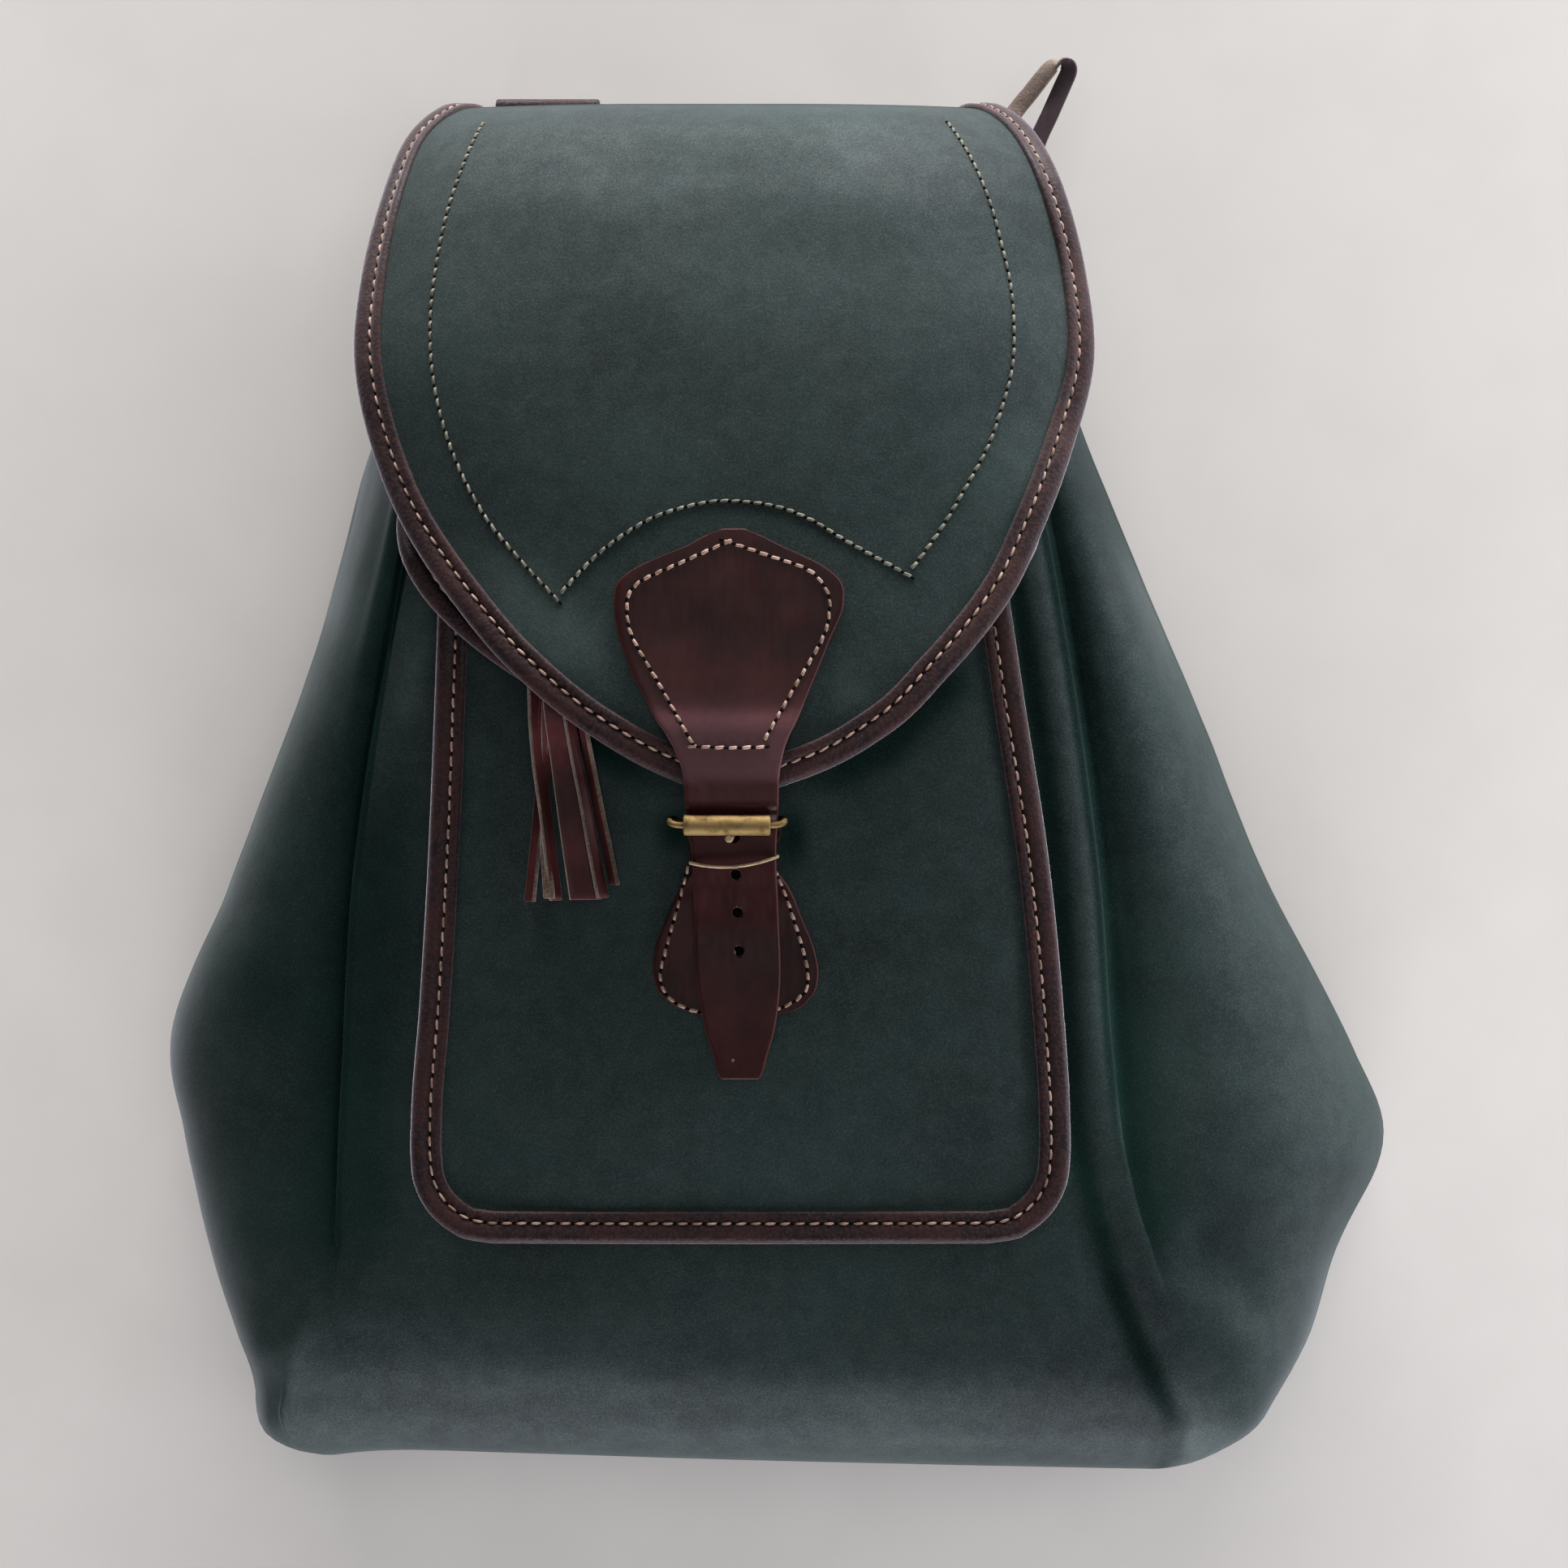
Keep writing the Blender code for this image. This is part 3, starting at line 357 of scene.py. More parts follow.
def fedWith(tree, node, inputs):
    for name, value in inputs.items():
        socket = node.inputs[name]
        if isinstance(value, bpy.types.NodeSocket):
            tree.links.new(value, socket)
        else:
            socket.default_value = value
    return node


def calculated(tree, operation, *values):
    return addNode(tree, "ShaderNodeMath", {"operation": operation},
                   dict(enumerate(values))).outputs[0]


def newMaterial(name, **constants):
    made = bpy.data.materials.new(name)
    made.use_nodes = True
    tree = made.node_tree
    shader = tree.nodes["Principled BSDF"]
    for socket, value in constants.items():
        shader.inputs[socket.replace("_", " ")].default_value = value
    place = addNode(tree, "ShaderNodeTexCoord").outputs["Object"]
    return made, tree, shader, place


def noise(tree, place, size, detail=3.0, rough=0.55):
    # Soft random values whose features are about size millimetres across
    return addNode(tree, "ShaderNodeTexNoise", None,
                   {"Vector": place, "Scale": 1.0 / (size * mm), "Detail": detail,
                    "Roughness": rough}).outputs["Fac"]


def spread(tree, value, low, high, newLow=0.0, newHigh=1.0):
    return addNode(tree, "ShaderNodeMapRange", {"interpolation_type": "SMOOTHSTEP"},
                   {"Value": value, "From Min": low, "From Max": high, "To Min": newLow,
                    "To Max": newHigh}).outputs["Result"]


def stretched(tree, place, scale):
    return addNode(tree, "ShaderNodeMapping", None, {"Vector": place, "Scale": scale}).outputs[0]


def pointValue(tree, name):
    # A value that the piece holds at each of its points
    return addNode(tree, "ShaderNodeAttribute", {"attribute_name": name}).outputs["Fac"]


def coloured(tree, share, dark, light, layers=()):
    # Two colours mixed, then layers over them: a value, its range, the layer's most and colour
    colour = addNode(tree, "ShaderNodeMix", {"data_type": "RGBA"},
                     {"Factor": share, 6: linear(dark), 7: linear(light)}).outputs[2]
    for value, low, high, most, code in layers:
        colour = addNode(tree, "ShaderNodeMix", {"data_type": "RGBA"},
                         {"Factor": spread(tree, value, low, high, 0.0, most), 6: colour,
                          7: linear(code)}).outputs[2]
    return colour


def bumped(tree, shader, layers):
    # Layers of (height, size in mm, strength), each on top of the one before
    normal = None
    for height, depth, strength in layers:
        inputs = {"Height": height, "Distance": depth * mm, "Strength": strength}
        if normal is not None:
            inputs["Normal"] = normal
        normal = addNode(tree, "ShaderNodeBump", None, inputs).outputs["Normal"]
    tree.links.new(normal, shader.inputs["Normal"])


def towardsRim(tree, low, high, start, end):
    # A value that changes where the surface turns edge-on, where the fibres hide its gloss
    facing = addNode(tree, "ShaderNodeLayerWeight", inputs={"Blend": 0.5}).outputs["Facing"]
    return spread(tree, facing, low, high, start, end)


def nubuckMaterial(name, dark, light, paintedLightAndWear):
    # Nubuck: full-grain hide buffed with fine grit until it has a nap. Dyed almost black, it
    # drinks light seen from above, goes hazy grey where it leans towards a light, and shows
    # clouds where the nap lies over. A value held at each point paints shade and light on it.
    made, tree, shader, place = newMaterial(
        name, IOR=1.45, Specular_Tint=linear("#f4f7ff"), Sheen_Roughness=0.4,
        Sheen_Tint=linear("#eef5ff"))
    clouds = spread(tree, noise(tree, place, 62.0, 4.0), 0.32, 0.7)
    mottle = spread(tree, noise(tree, place, 7.0, 5.0, 0.62), 0.3, 0.72)
    nap = noise(tree, place, 0.55, 2.0)         # real fibres are finer than the render shows
    # painted light and shade: below 0 this value cuts the gloss and sheen as painted shade, above 0
    # it mixes in the paler colour as painted light
    paintedLightShade = pointValue(tree, "paintedLightAndWear")
    gloss = spread(tree, mottle, 0.0, 1.0, 0.22, 0.28)
    for factor in (
            spread(tree, nap, 0.3, 0.7, 0.7, 1.3), spread(tree, paintedLightShade, -1.0, 0.0, 0.06, 1.0),
            spread(tree, paintedLightShade, 0.0, 1.0, 1.0, 2.0), towardsRim(tree, 0.86, 0.98, 1.0, 0.0)):
        gloss = calculated(tree, "MULTIPLY", gloss, factor)
    fedWith(tree, shader, {
        "Base Color": coloured(tree, clouds, dark, light, (
            (mottle, 0.0, 1.0, 0.34, light), (nap, 0.5, 0.75, 0.45, paintedLightAndWear),
            (paintedLightShade, 0.0, 1.0, 0.55, paintedLightAndWear))),
        "Specular IOR Level": gloss,
        "Sheen Weight": spread(tree, paintedLightShade, -1.0, 0.0, 0.02, 0.13),
        "Roughness": spread(tree, clouds, 0.0, 1.0, 0.67, 0.63)})
    bumped(tree, shader, [(noise(tree, place, 5.0, 3.0), 0.25, 0.3), (nap, 0.12, 0.4)])
    return made


def grainedMaterial(name, valley, top, rub):
    # Pigmented goatskin-like leather with a printed pebble grain about 1 mm across, folded
    # over edges as a binding: dark valleys, hazy rounded tops.
    made, tree, shader, place = newMaterial(
        name, IOR=1.5, Specular_IOR_Level=0.08, Sheen_Weight=0.5, Sheen_Roughness=0.4,
        Sheen_Tint=linear("#dcd6e2"))
    bend = addNode(tree, "ShaderNodeTexNoise", None,
                   {"Vector": place, "Scale": 1.0 / (2.2 * mm), "Detail": 2.0})
    pushed = addNode(tree, "ShaderNodeVectorMath", {"operation": "MULTIPLY_ADD"},
                     {0: bend.outputs["Color"], 1: (0.6 * mm,) * 3, 2: place}).outputs["Vector"]
    pebbles = addNode(tree, "ShaderNodeTexVoronoi", {"feature": "SMOOTH_F1"},
                      {"Vector": pushed, "Scale": 1.0 / (1.05 * mm), "Smoothness": 0.35,
                       "Randomness": 0.95}).outputs["Distance"]
    raised = spread(tree, pebbles, 0.15, 0.75, 1.0, 0.0)
    patches = spread(tree, noise(tree, place, 14.0, 3.0), 0.3, 0.7)
    fedWith(tree, shader, {
        "Base Color": coloured(tree, raised, valley, top, ((patches, 0.0, 1.0, 0.4, rub),)),
        "Roughness": spread(tree, patches, 0.0, 1.0, 0.44, 0.56)})
    bumped(tree, shader, [(noise(tree, place, 3.2, 2.0), 0.15, 0.35), (raised, 0.1, 0.5)])
    return made


paintedHazePlum = "#51363a"         # a paler plum painted on smooth leather as painted haze


def smoothMaterial(name, dark, light, edge):
    # Vegetable-tanned strap leather, dyed plum, waxed and burnished at its edges: smooth with
    # fine pores, long faint rub marks and a low soft gloss. Its edges are painted paler, partly
    # burnished and partly a painted highlight, and a paler painted haze lies where a value says so.
    made, tree, shader, place = newMaterial(
        name, IOR=1.5, Specular_IOR_Level=0.09, Sheen_Weight=0.02, Sheen_Roughness=0.4,
        Sheen_Tint=linear("#e2d8da"))
    clouds = spread(tree, noise(tree, place, 22.0, 4.0), 0.3, 0.7)
    streaks = spread(tree, noise(tree, stretched(tree, place, (1.0, 0.18, 1.0)), 1.6, 3.0),
                     0.35, 0.8)
    pores = noise(tree, place, 0.45, 2.0)
    fedWith(tree, shader, {
        "Base Color": coloured(tree, clouds, dark, light, (
            (streaks, 0.3, 1.0, 0.2, light), (pores, 0.55, 0.8, 0.3, edge),
            # the paler edge colour: burnished, and partly a painted highlight
            (pointValue(tree, "paintedLightAndWear"), 0.3, 1.0, 0.75, edge),
            # painted haze: a paler plum where the strap holds that value
            (pointValue(tree, "paintedHaze"), 0.0, 1.0, 0.6, paintedHazePlum))),
        "Roughness": spread(tree, streaks, 0.0, 1.0, 0.4, 0.52)})
    bumped(tree, shader, [(noise(tree, place, 6.0, 2.0), 0.25, 0.3), (pores, 0.06, 0.4)])
    return made


def rawMaterial(name, dark, light):
    # The flesh side and cut edges of leather, unfinished: fuzzy, paler and uneven.
    made, tree, shader, place = newMaterial(
        name, IOR=1.4, Specular_IOR_Level=0.25, Sheen_Weight=0.25, Sheen_Roughness=0.5,
        Roughness=0.85)
    fuzz = noise(tree, place, 0.8, 4.0, 0.7)
    fedWith(tree, shader, {"Base Color": coloured(
        tree, spread(tree, fuzz, 0.35, 0.65), dark, light,
        ((noise(tree, place, 5.0, 3.0), 0.35, 0.7, 0.6, dark),))})
    bumped(tree, shader, [(fuzz, 0.3, 0.7)])
    return made


def threadMaterial(name, dark, light):
    # Bonded, lightly waxed sewing thread, a little uneven from stitch to stitch.
    made, tree, shader, place = newMaterial(name, IOR=1.5, Specular_IOR_Level=0.35, Roughness=0.6)
    plies = noise(tree, place, 0.35, 1.0)
    fedWith(tree, shader, {"Base Color": coloured(
        tree, spread(tree, noise(tree, place, 6.0, 2.0), 0.3, 0.7), dark, light,
        ((plies, 0.5, 0.8, 0.35, dark),))})
    bumped(tree, shader, [(plies, 0.08, 0.5)])
    return made


def brassMaterial(name, bright, brown):
    # Lacquered brass, worn and tarnished: brushed along its length, brown in the hollows.
    made, tree, shader, place = newMaterial(name, Metallic=1.0)
    brushed = noise(tree, stretched(tree, place, (0.08, 1.0, 1.0)), 0.35, 3.0)
    tarnish = spread(tree, noise(tree, place, 4.5, 4.0, 0.65), 0.42, 0.72)
    fedWith(tree, shader, {"Base Color": coloured(tree, tarnish, bright, brown),
                           "Roughness": spread(tree, tarnish, 0.0, 1.0, 0.68, 0.78)})
    bumped(tree, shader, [(brushed, 0.05, 0.5), (noise(tree, place, 1.8, 2.0), 0.06, 0.3)])
    return made


def plainMaterial(name, code, rough):
    # Painted shade at the bottom of a small hole: matt, nearly black, a little uneven.
    made, tree, shader, place = newMaterial(name, Specular_IOR_Level=0.05, Roughness=rough)
    paintedHoleShades = spread(tree, noise(tree, place, 3.0, 3.0), 0.3, 0.7, 0.0, 0.5)
    fedWith(tree, shader, {"Base Color": coloured(tree, paintedHoleShades, code, "#000000")})
    return made


# the third colour is the nap's paler fibres, and also the colour of painted light
nubuck = nubuckMaterial("nubuckGreen", "#081412", "#0e1f1b", "#1c302b")
lining = rawMaterial("fleshSideLining", "#2b302e", "#3a403d")
grained = grainedMaterial("grainedBindingPlum", "#12090a", "#2a1817", "#341a16")
strapLeather = smoothMaterial("waxedStrapLeatherPlum", "#1b0808", "#2e1212", "#381a19")
rawEdge = rawMaterial("rawLeatherEdgeTan", "#3c2b22", "#665144")
laceGrain = smoothMaterial("laceGrainSide", "#3a2e31", "#4b4043", "#57494a")
laceFlesh = rawMaterial("laceFleshSide", "#5e5048", "#7b6a61")
tanThread = threadMaterial("waxedThreadTan", "#62493b", "#90766a")
paleThread = threadMaterial("waxedThreadPale", "#444339", "#676558")
needleHole = plainMaterial("needleHoleShade", "#0d0807", 0.9)
tasselLeather = smoothMaterial("waxedTasselLeatherPlum", "#28100f", "#472224", "#4c2825")
brass = brassMaterial("wornBrass", "#74603f", "#4c3d26")
rubbedBrass = brassMaterial("rubbedBrass", "#9c8a70", "#76654b")
# painted shade: a near-black brass for the frame's lower part, below the roller's bar
paintedShadeBrass = brassMaterial("paintedShadeBrass", "#241a10", "#150f0a")
print("materials made")


# The drawstring comes first of the pieces: a flat lace, its tan flesh side up on the way out
# past the flap's corner and its dark grain side up on the way back
lace = {
    "halfWidth": 2.75,
    "halfThickness": 0.85,
    "stepsPerSpan": 7,
    "sides": 12,
    "power": 0.6,
    # x, y, z and how far the lace is rolled there, in degrees
    "route": (
        (-114.6, 146.0, 34.0, 0), (-111.0, 147.0, 50.0, 0), (-100.0, 148.0, 66.0, 0),
        (-84.0, 148.5, 75.0, 0), (-55.0, 149.0, 78.5, 0), (-18.0, 149.5, 79.5, 0),
        (18.0, 150.0, 78.5, 0), (40.0, 152.0, 76.5, 0), (55.0, 159.0, 73.0, 0),
        (61.0, 171.0, 61.0, 8), (65.0, 187.0, 47.0, 10), (71.4, 200.6, 39.5, 10),
        (77.3, 208.0, 40.0, 12), (82.2, 214.0, 41.3, 22), (85.4, 216.6, 42.3, 62),
        (87.8, 216.4, 42.4, 118), (88.9, 213.8, 41.8, 158), (87.4, 210.4, 41.0, 168),
        (83.4, 201.4, 40.4, 172), (79.2, 192.0, 40.4, 176), (76.5, 180.0, 41.0, 180),
        (77.5, 165.0, 42.0, 180), (80.0, 154.0, 43.0, 180),
    ),
}
laceLine = curveThrough(lace["route"], lace["stepsPerSpan"])
laceRings = tubeRings(laceLine[:, :3], laceLine[:, 3], lace["halfWidth"], lace["halfThickness"],
                      lace["sides"], lace["power"])
drawstring = loft("drawstringLace", laceRings, [laceGrain, laceFlesh],
                  paintedLightAndWear=np.zeros(laceRings.shape[:2]),
                  finishOf=lambda j: 1 if 0 <= j < lace["sides"] // 2 else 0)
finishPiece(drawstring, "lace_leather", "drawstring")


# Stitches: one Geometry Nodes tree walks a line and lays a thread on it at every pitch. A
# second pass with a short flat thread, moved along by half a pitch, lays near-black painted
# shade at the needle holes.

def stitchTree():
    tree = bpy.data.node_groups.new("stitchesAlongLine", "GeometryNodeTree")
    tree.interface.new_socket("Geometry", in_out="INPUT", socket_type="NodeSocketGeometry")
    for name in ("Pitch", "Stitch Length", "Thread Radius", "Rise", "Sink", "Shift", "Slant"):
        tree.interface.new_socket(name, in_out="INPUT", socket_type="NodeSocketFloat")
    for name, kind in (("Seed", "NodeSocketInt"), ("Thread", "NodeSocketMaterial")):
        tree.interface.new_socket(name, in_out="INPUT", socket_type=kind)
    tree.interface.new_socket("Geometry", in_out="OUTPUT", socket_type="NodeSocketGeometry")
    given = addNode(tree, "NodeGroupInput").outputs
    line = addNode(tree, "GeometryNodeMeshToCurve", None, {"Mesh": given["Geometry"]})
    steps = addNode(tree, "GeometryNodeResampleCurve", {"mode": "LENGTH"},
                    {"Curve": line.outputs[0], "Length": given["Pitch"]})
    tangent = addNode(tree, "GeometryNodeInputTangent").outputs[0]
    moved = addNode(tree, "ShaderNodeVectorMath", {"operation": "SCALE"},
                    {0: tangent, "Scale": given["Shift"]})
    placed = addNode(tree, "GeometryNodeSetPosition", None,
                     {"Geometry": steps.outputs[0], "Offset": moved.outputs[0]})
    up = addNode(tree, "GeometryNodeInputNamedAttribute", {"data_type": "FLOAT_VECTOR"},
                 {"Name": "up"}).outputs[0]
    facing = addNode(tree, "FunctionNodeAxesToRotation",
                     {"primary_axis": "X", "secondary_axis": "Z"},
                     {"Primary Axis": tangent, "Secondary Axis": up})
    unevenTurn = addNode(tree, "FunctionNodeRandomValue", {"data_type": "FLOAT"},
                         {2: -0.05, 3: 0.05, "Seed": given["Seed"]}).outputs[1]
    turn = addNode(tree, "ShaderNodeCombineXYZ", None,
                   {"Z": calculated(tree, "ADD", given["Slant"], unevenTurn)}).outputs[0]
    turned = addNode(tree, "FunctionNodeEulerToRotation", None, {0: turn})
    rotation = addNode(tree, "FunctionNodeRotateRotation", {"rotation_space": "LOCAL"},
                       {"Rotation": facing.outputs[0], "Rotate By": turned.outputs[0]})
    size = addNode(tree, "FunctionNodeRandomValue", {"data_type": "FLOAT_VECTOR"},
                   {0: (0.9, 0.92, 0.9), 1: (1.06, 1.08, 1.1), "Seed": given["Seed"]}).outputs[0]
    half = calculated(tree, "MULTIPLY", given["Stitch Length"], 0.5)
    under = calculated(tree, "MULTIPLY", given["Sink"], -1.0)
    ends = [addNode(tree, "ShaderNodeCombineXYZ", None, {"X": x, "Z": under}).outputs[0]
            for x in (calculated(tree, "MULTIPLY", half, -1.0), half)]
    over = calculated(tree, "MULTIPLY_ADD", given["Rise"], 2.0, given["Sink"])
    top = addNode(tree, "ShaderNodeCombineXYZ", None, {"Z": over}).outputs[0]
    arch = addNode(tree, "GeometryNodeCurveQuadraticBezier", None,
                   {"Resolution": 6, "Start": ends[0], "Middle": top, "End": ends[1]})
    round_ = addNode(tree, "GeometryNodeCurvePrimitiveCircle", None,
                     {"Resolution": 6, "Radius": given["Thread Radius"]})
    thread = addNode(tree, "GeometryNodeCurveToMesh", None,
                     {"Curve": arch.outputs[0], "Profile Curve": round_.outputs[0],
                      "Fill Caps": True})
    smooth = addNode(tree, "GeometryNodeSetShadeSmooth", None, {"Geometry": thread.outputs[0]})
    laid = addNode(tree, "GeometryNodeInstanceOnPoints", None,
                   {"Points": placed.outputs[0], "Instance": smooth.outputs[0],
                    "Rotation": rotation.outputs[0], "Scale": size})
    real = addNode(tree, "GeometryNodeRealizeInstances", None, {"Geometry": laid.outputs[0]})
    dyed = addNode(tree, "GeometryNodeSetMaterial", None,
                   {"Geometry": real.outputs[0], "Material": given["Thread"]})
    addNode(tree, "NodeGroupOutput", None, {"Geometry": dyed.outputs[0]})
    return tree


stitches = stitchTree()
holeRise = 0.02             # a needle hole's shade stands just clear of the leather


def sewn(name, lines, spec, thread, slot, seed):
    # lines: pairs of (points on the surface, directions out of it)
    points, edges, ups = [], [], []
    for line, up in lines:
        start = len(points)
        points += (np.asarray(line) * mm).tolist()
        ups += unit(np.asarray(up, float)).tolist()
        edges += [(start + i, start + i + 1) for i in range(len(line) - 1)]
    # the second pass is painted shade: near-black pieces at the needle holes
    for hole in (False, True):
        label = name + "Holes" if hole else name
        mesh = bpy.data.meshes.new(label)
        mesh.from_pydata(points, edges, [])
        mesh.attributes.new("up", "FLOAT_VECTOR", "POINT").data.foreach_set(
            "vector", np.array(ups, np.float32).ravel())
        walker = bpy.data.objects.new(label, mesh)
        scene.collection.objects.link(walker)
        nodes = walker.modifiers.new("stitches", "NODES")
        nodes.node_group = stitches
        chosen = {
            "Pitch": spec["pitch"] * mm,
            "Stitch Length": (spec["hole"] if hole else spec["length"]) * mm,
            "Thread Radius": (spec["holeRadius"] if hole else spec["radius"]) * mm,
            "Rise": (holeRise if hole else spec["rise"]) * mm,
            "Sink": (spec["holeSink"] if hole else spec["sink"]) * mm,
            "Shift": spec["pitch"] / 2 * mm if hole else 0.0,
            "Slant": 0.0 if hole else math.radians(spec["slant"]),
            "Seed": seed,
            "Thread": needleHole if hole else thread,
        }
        for socket in stitches.interface.items_tree:
            if socket.in_out == "INPUT" and socket.name in chosen:
                nodes[socket.identifier] = chosen[socket.name]
        graph = bpy.context.evaluated_depsgraph_get()
        result = bpy.data.meshes.new_from_object(walker.evaluated_get(graph))
        bpy.data.objects.remove(walker)
        piece = bpy.data.objects.new(label, result)
        scene.collection.objects.link(piece)
        finishPiece(piece, slot)


def trimmed(line, amount):
    # The line and its directions without their first few millimetres, where another line ends
    points, ups = line
    along = lengthsAlong(points)
    kept = along > amount
    start = np.stack([np.interp(amount, along, points[:, axis]) for axis in range(3)])
    return np.vstack([start, points[kept]]), np.vstack([ups[kept][:1], ups[kept]])


bindingStitch = {"pitch": 4.15, "length": 2.8, "radius": 0.39, "rise": 0.3, "sink": 0.22,
                 "slant": 4.0, "hole": 1.1, "holeRadius": 0.38, "holeSink": 0.26}
drawnStitch = {"pitch": 3.4, "length": 2.25, "radius": 0.46, "rise": 0.26, "sink": 0.24,
               "slant": -8.0, "hole": 1.15, "holeRadius": 0.42, "holeSink": 0.3}
arcStitch = dict(drawnStitch, pitch=3.1, length=1.9, radius=0.5, slant=9.0)
patchStitch = {"pitch": 3.4, "length": 2.1, "radius": 0.47, "rise": 0.24, "sink": 0.26,
               "slant": 6.0, "hole": 1.2, "holeRadius": 0.48, "holeSink": 0.34}


# The body: one wrapped panel with a left crease, a right ridge, side folds and neck gathers
body = {
    "wall": 2.0, "backWall": 1.7, "backZ": 6.7, "foldZ": 19.0, "seamInset": 32.0,
    "crown": 3.0, "baseStart": -193.0, "baseRounding": 18.0, "baseTilt": 10.0, "baseDrop": 15.0,
    "baseSlope": -0.027, "skewStart": -110.0, "skewLength": 80.0,
    # the left corner hangs a little below the base's line: how far, where and how wide
    "cornerHang": 3.2, "cornerX": -146.0, "cornerWidth": 20.0, "cornerFrom": -182.0,
    "cornerFade": 20.0,
    "rows": 112, "perSpan": 7, "seamTuck": 1.4, "seamIn": 0.7, "turnedIn": 1.3,
    # of the sides: 1 is a straight slope, 2 a quarter of an oval
    "fullLeft": 2.65, "fullLeftTop": 1.6, "fullFrom": -50.0, "fullLength": 110.0,
    "fullRight": 2.1,
    "grooveDepth": 1.3, "valleyDepth": 2.0, "shoulderFall": 4.5, "stripDip": 1.8,
    "creaseStep": 2.9, "creaseEnds": -158.0, "creaseFade": 46.0,
    "ridgeStep": 3.8, "ridgeFoot": 3.3, "ridgeEnds": -128.0, "ridgeFade": 62.0,
    # waves in the leather: where, length, height and seed
    "waves": (("sides", 58.0, 0.7, 4), ("sides", 26.0, 0.28, 5), ("front", 70.0, 0.35, 6)),
}
# The base's corners in plan: centre, reach to the side and to the base, and how square each
# is before and after it is pushed into the photo's shape
bodyCorners = (
    ((-128.0, -176.0), (36.0, 35.0), 4.4, 10.0),
    ((112.0, -170.0), (49.0, 41.0), 4.6, 1.74),
)
bodyTable = makeTable(("y", "left", "crease", "ridge", "right", "front", "sag", "gather"), (
    (-193.0, -162.0, -141.0, 125.0, 158.0, 80.5, 0.5, 0.0),
    (-180.0, -166.3, -137.0, 119.0, 162.2, 87.2, 0.5, 0.0),
    (-165.0, -172.0, -133.7, 112.7, 168.3, 90.4, 0.5, 0.0),
    (-150.0, -176.1, -131.0, 107.0, 173.6, 91.6, 0.5, 0.0),
    (-113.0, -184.9, -128.5, 97.0, 189.8, 92.0, 0.5, 0.0),
    (-90.0, -189.8, -127.5, 94.5, 181.1, 92.0, 0.5, 0.0),
    (-35.0, -170.3, -124.5, 90.5, 152.1, 92.0, 0.5, 0.0),
    (16.0, -153.1, -118.0, 84.0, 131.5, 91.0, 0.5, 0.0),
    (65.0, -139.6, -111.0, 76.0, 110.3, 88.0, 2.0, 0.0),
    (101.0, -130.0, -105.0, 69.0, 95.0, 83.0, 6.7, 0.5),
    (128.0, -119.0, -97.0, 61.0, 84.0, 76.0, 7.2, 2.5),
    (148.0, -111.0, -91.0, 55.0, 75.0, 68.0, 7.2, 3.5),
    (168.0, -108.0, -88.0, 53.0, 72.0, 64.0, 7.2, 4.5),
))
# Folds pressed into or raised out of the surface: route across it, width, fade, height
bodyFolds = (
    (((-133.0, -140.0), (-148.0, -158.0), (-163.0, -170.0)), 9.0, 16.0, -2.0),
    (((-130.0, -154.0), (-147.0, -166.0), (-165.0, -178.0)), 8.0, 14.0, 1.5),
    (((-131.0, -147.0), (-115.3, -157.9), (-98.0, -163.0)), 9.0, 14.0, 1.0),
    (((92.0, -137.0), (102.0, -160.0), (114.0, -184.0)), 8.0, 16.0, -1.8),
    (((98.0, -128.0), (109.0, -155.0), (122.0, -186.0)), 7.0, 18.0, 1.6),
    (((116.0, -126.0), (131.0, -149.0), (146.0, -165.0)), 10.0, 16.0, -2.6),
    (((118.0, -160.0), (140.0, -172.0), (160.0, -180.0)), 10.0, 16.0, 1.2),
    (((-60.0, -163.0), (0.0, -168.0), (70.0, -160.0)), 16.0, 40.0, -0.8),
)


# The crease's section: place along the body's section, how far right of the crease and how
# much further at its lip, height over the left side's top, and share of the groove's depth
creaseForm = (
    (6.4, -2.2, 0.0, -0.4, 0.1), (6.6, -1.2, 0.0, -0.3, 0.6), (6.75, -0.7, 0.5, -0.2, 1.0),
    (6.9, -0.4, 0.95, 0.1, 0.6),
)
# The ridge's section: place, how far right of its foot, how far down from the front, and
# shares of the slope's drop and of the valley's depth
ridgeForm = (
    (12.4, -7.8, 0.3, 0.06, 0.0), (12.7, -4.1, 0.7, 0.3, 0.0), (13.0, -1.3, 1.3, 0.7, 0.0),
    (13.2, 0.0, 1.8, 0.98, 0.6),
)


def frontHeight(x, y):
    crease, ridge = read(bodyTable, "crease", y), read(bodyTable, "ridge", y)
    side = sideOf(crease, ridge, x)
    return read(bodyTable, "front", y) + body["crown"] * (1 - side * side)


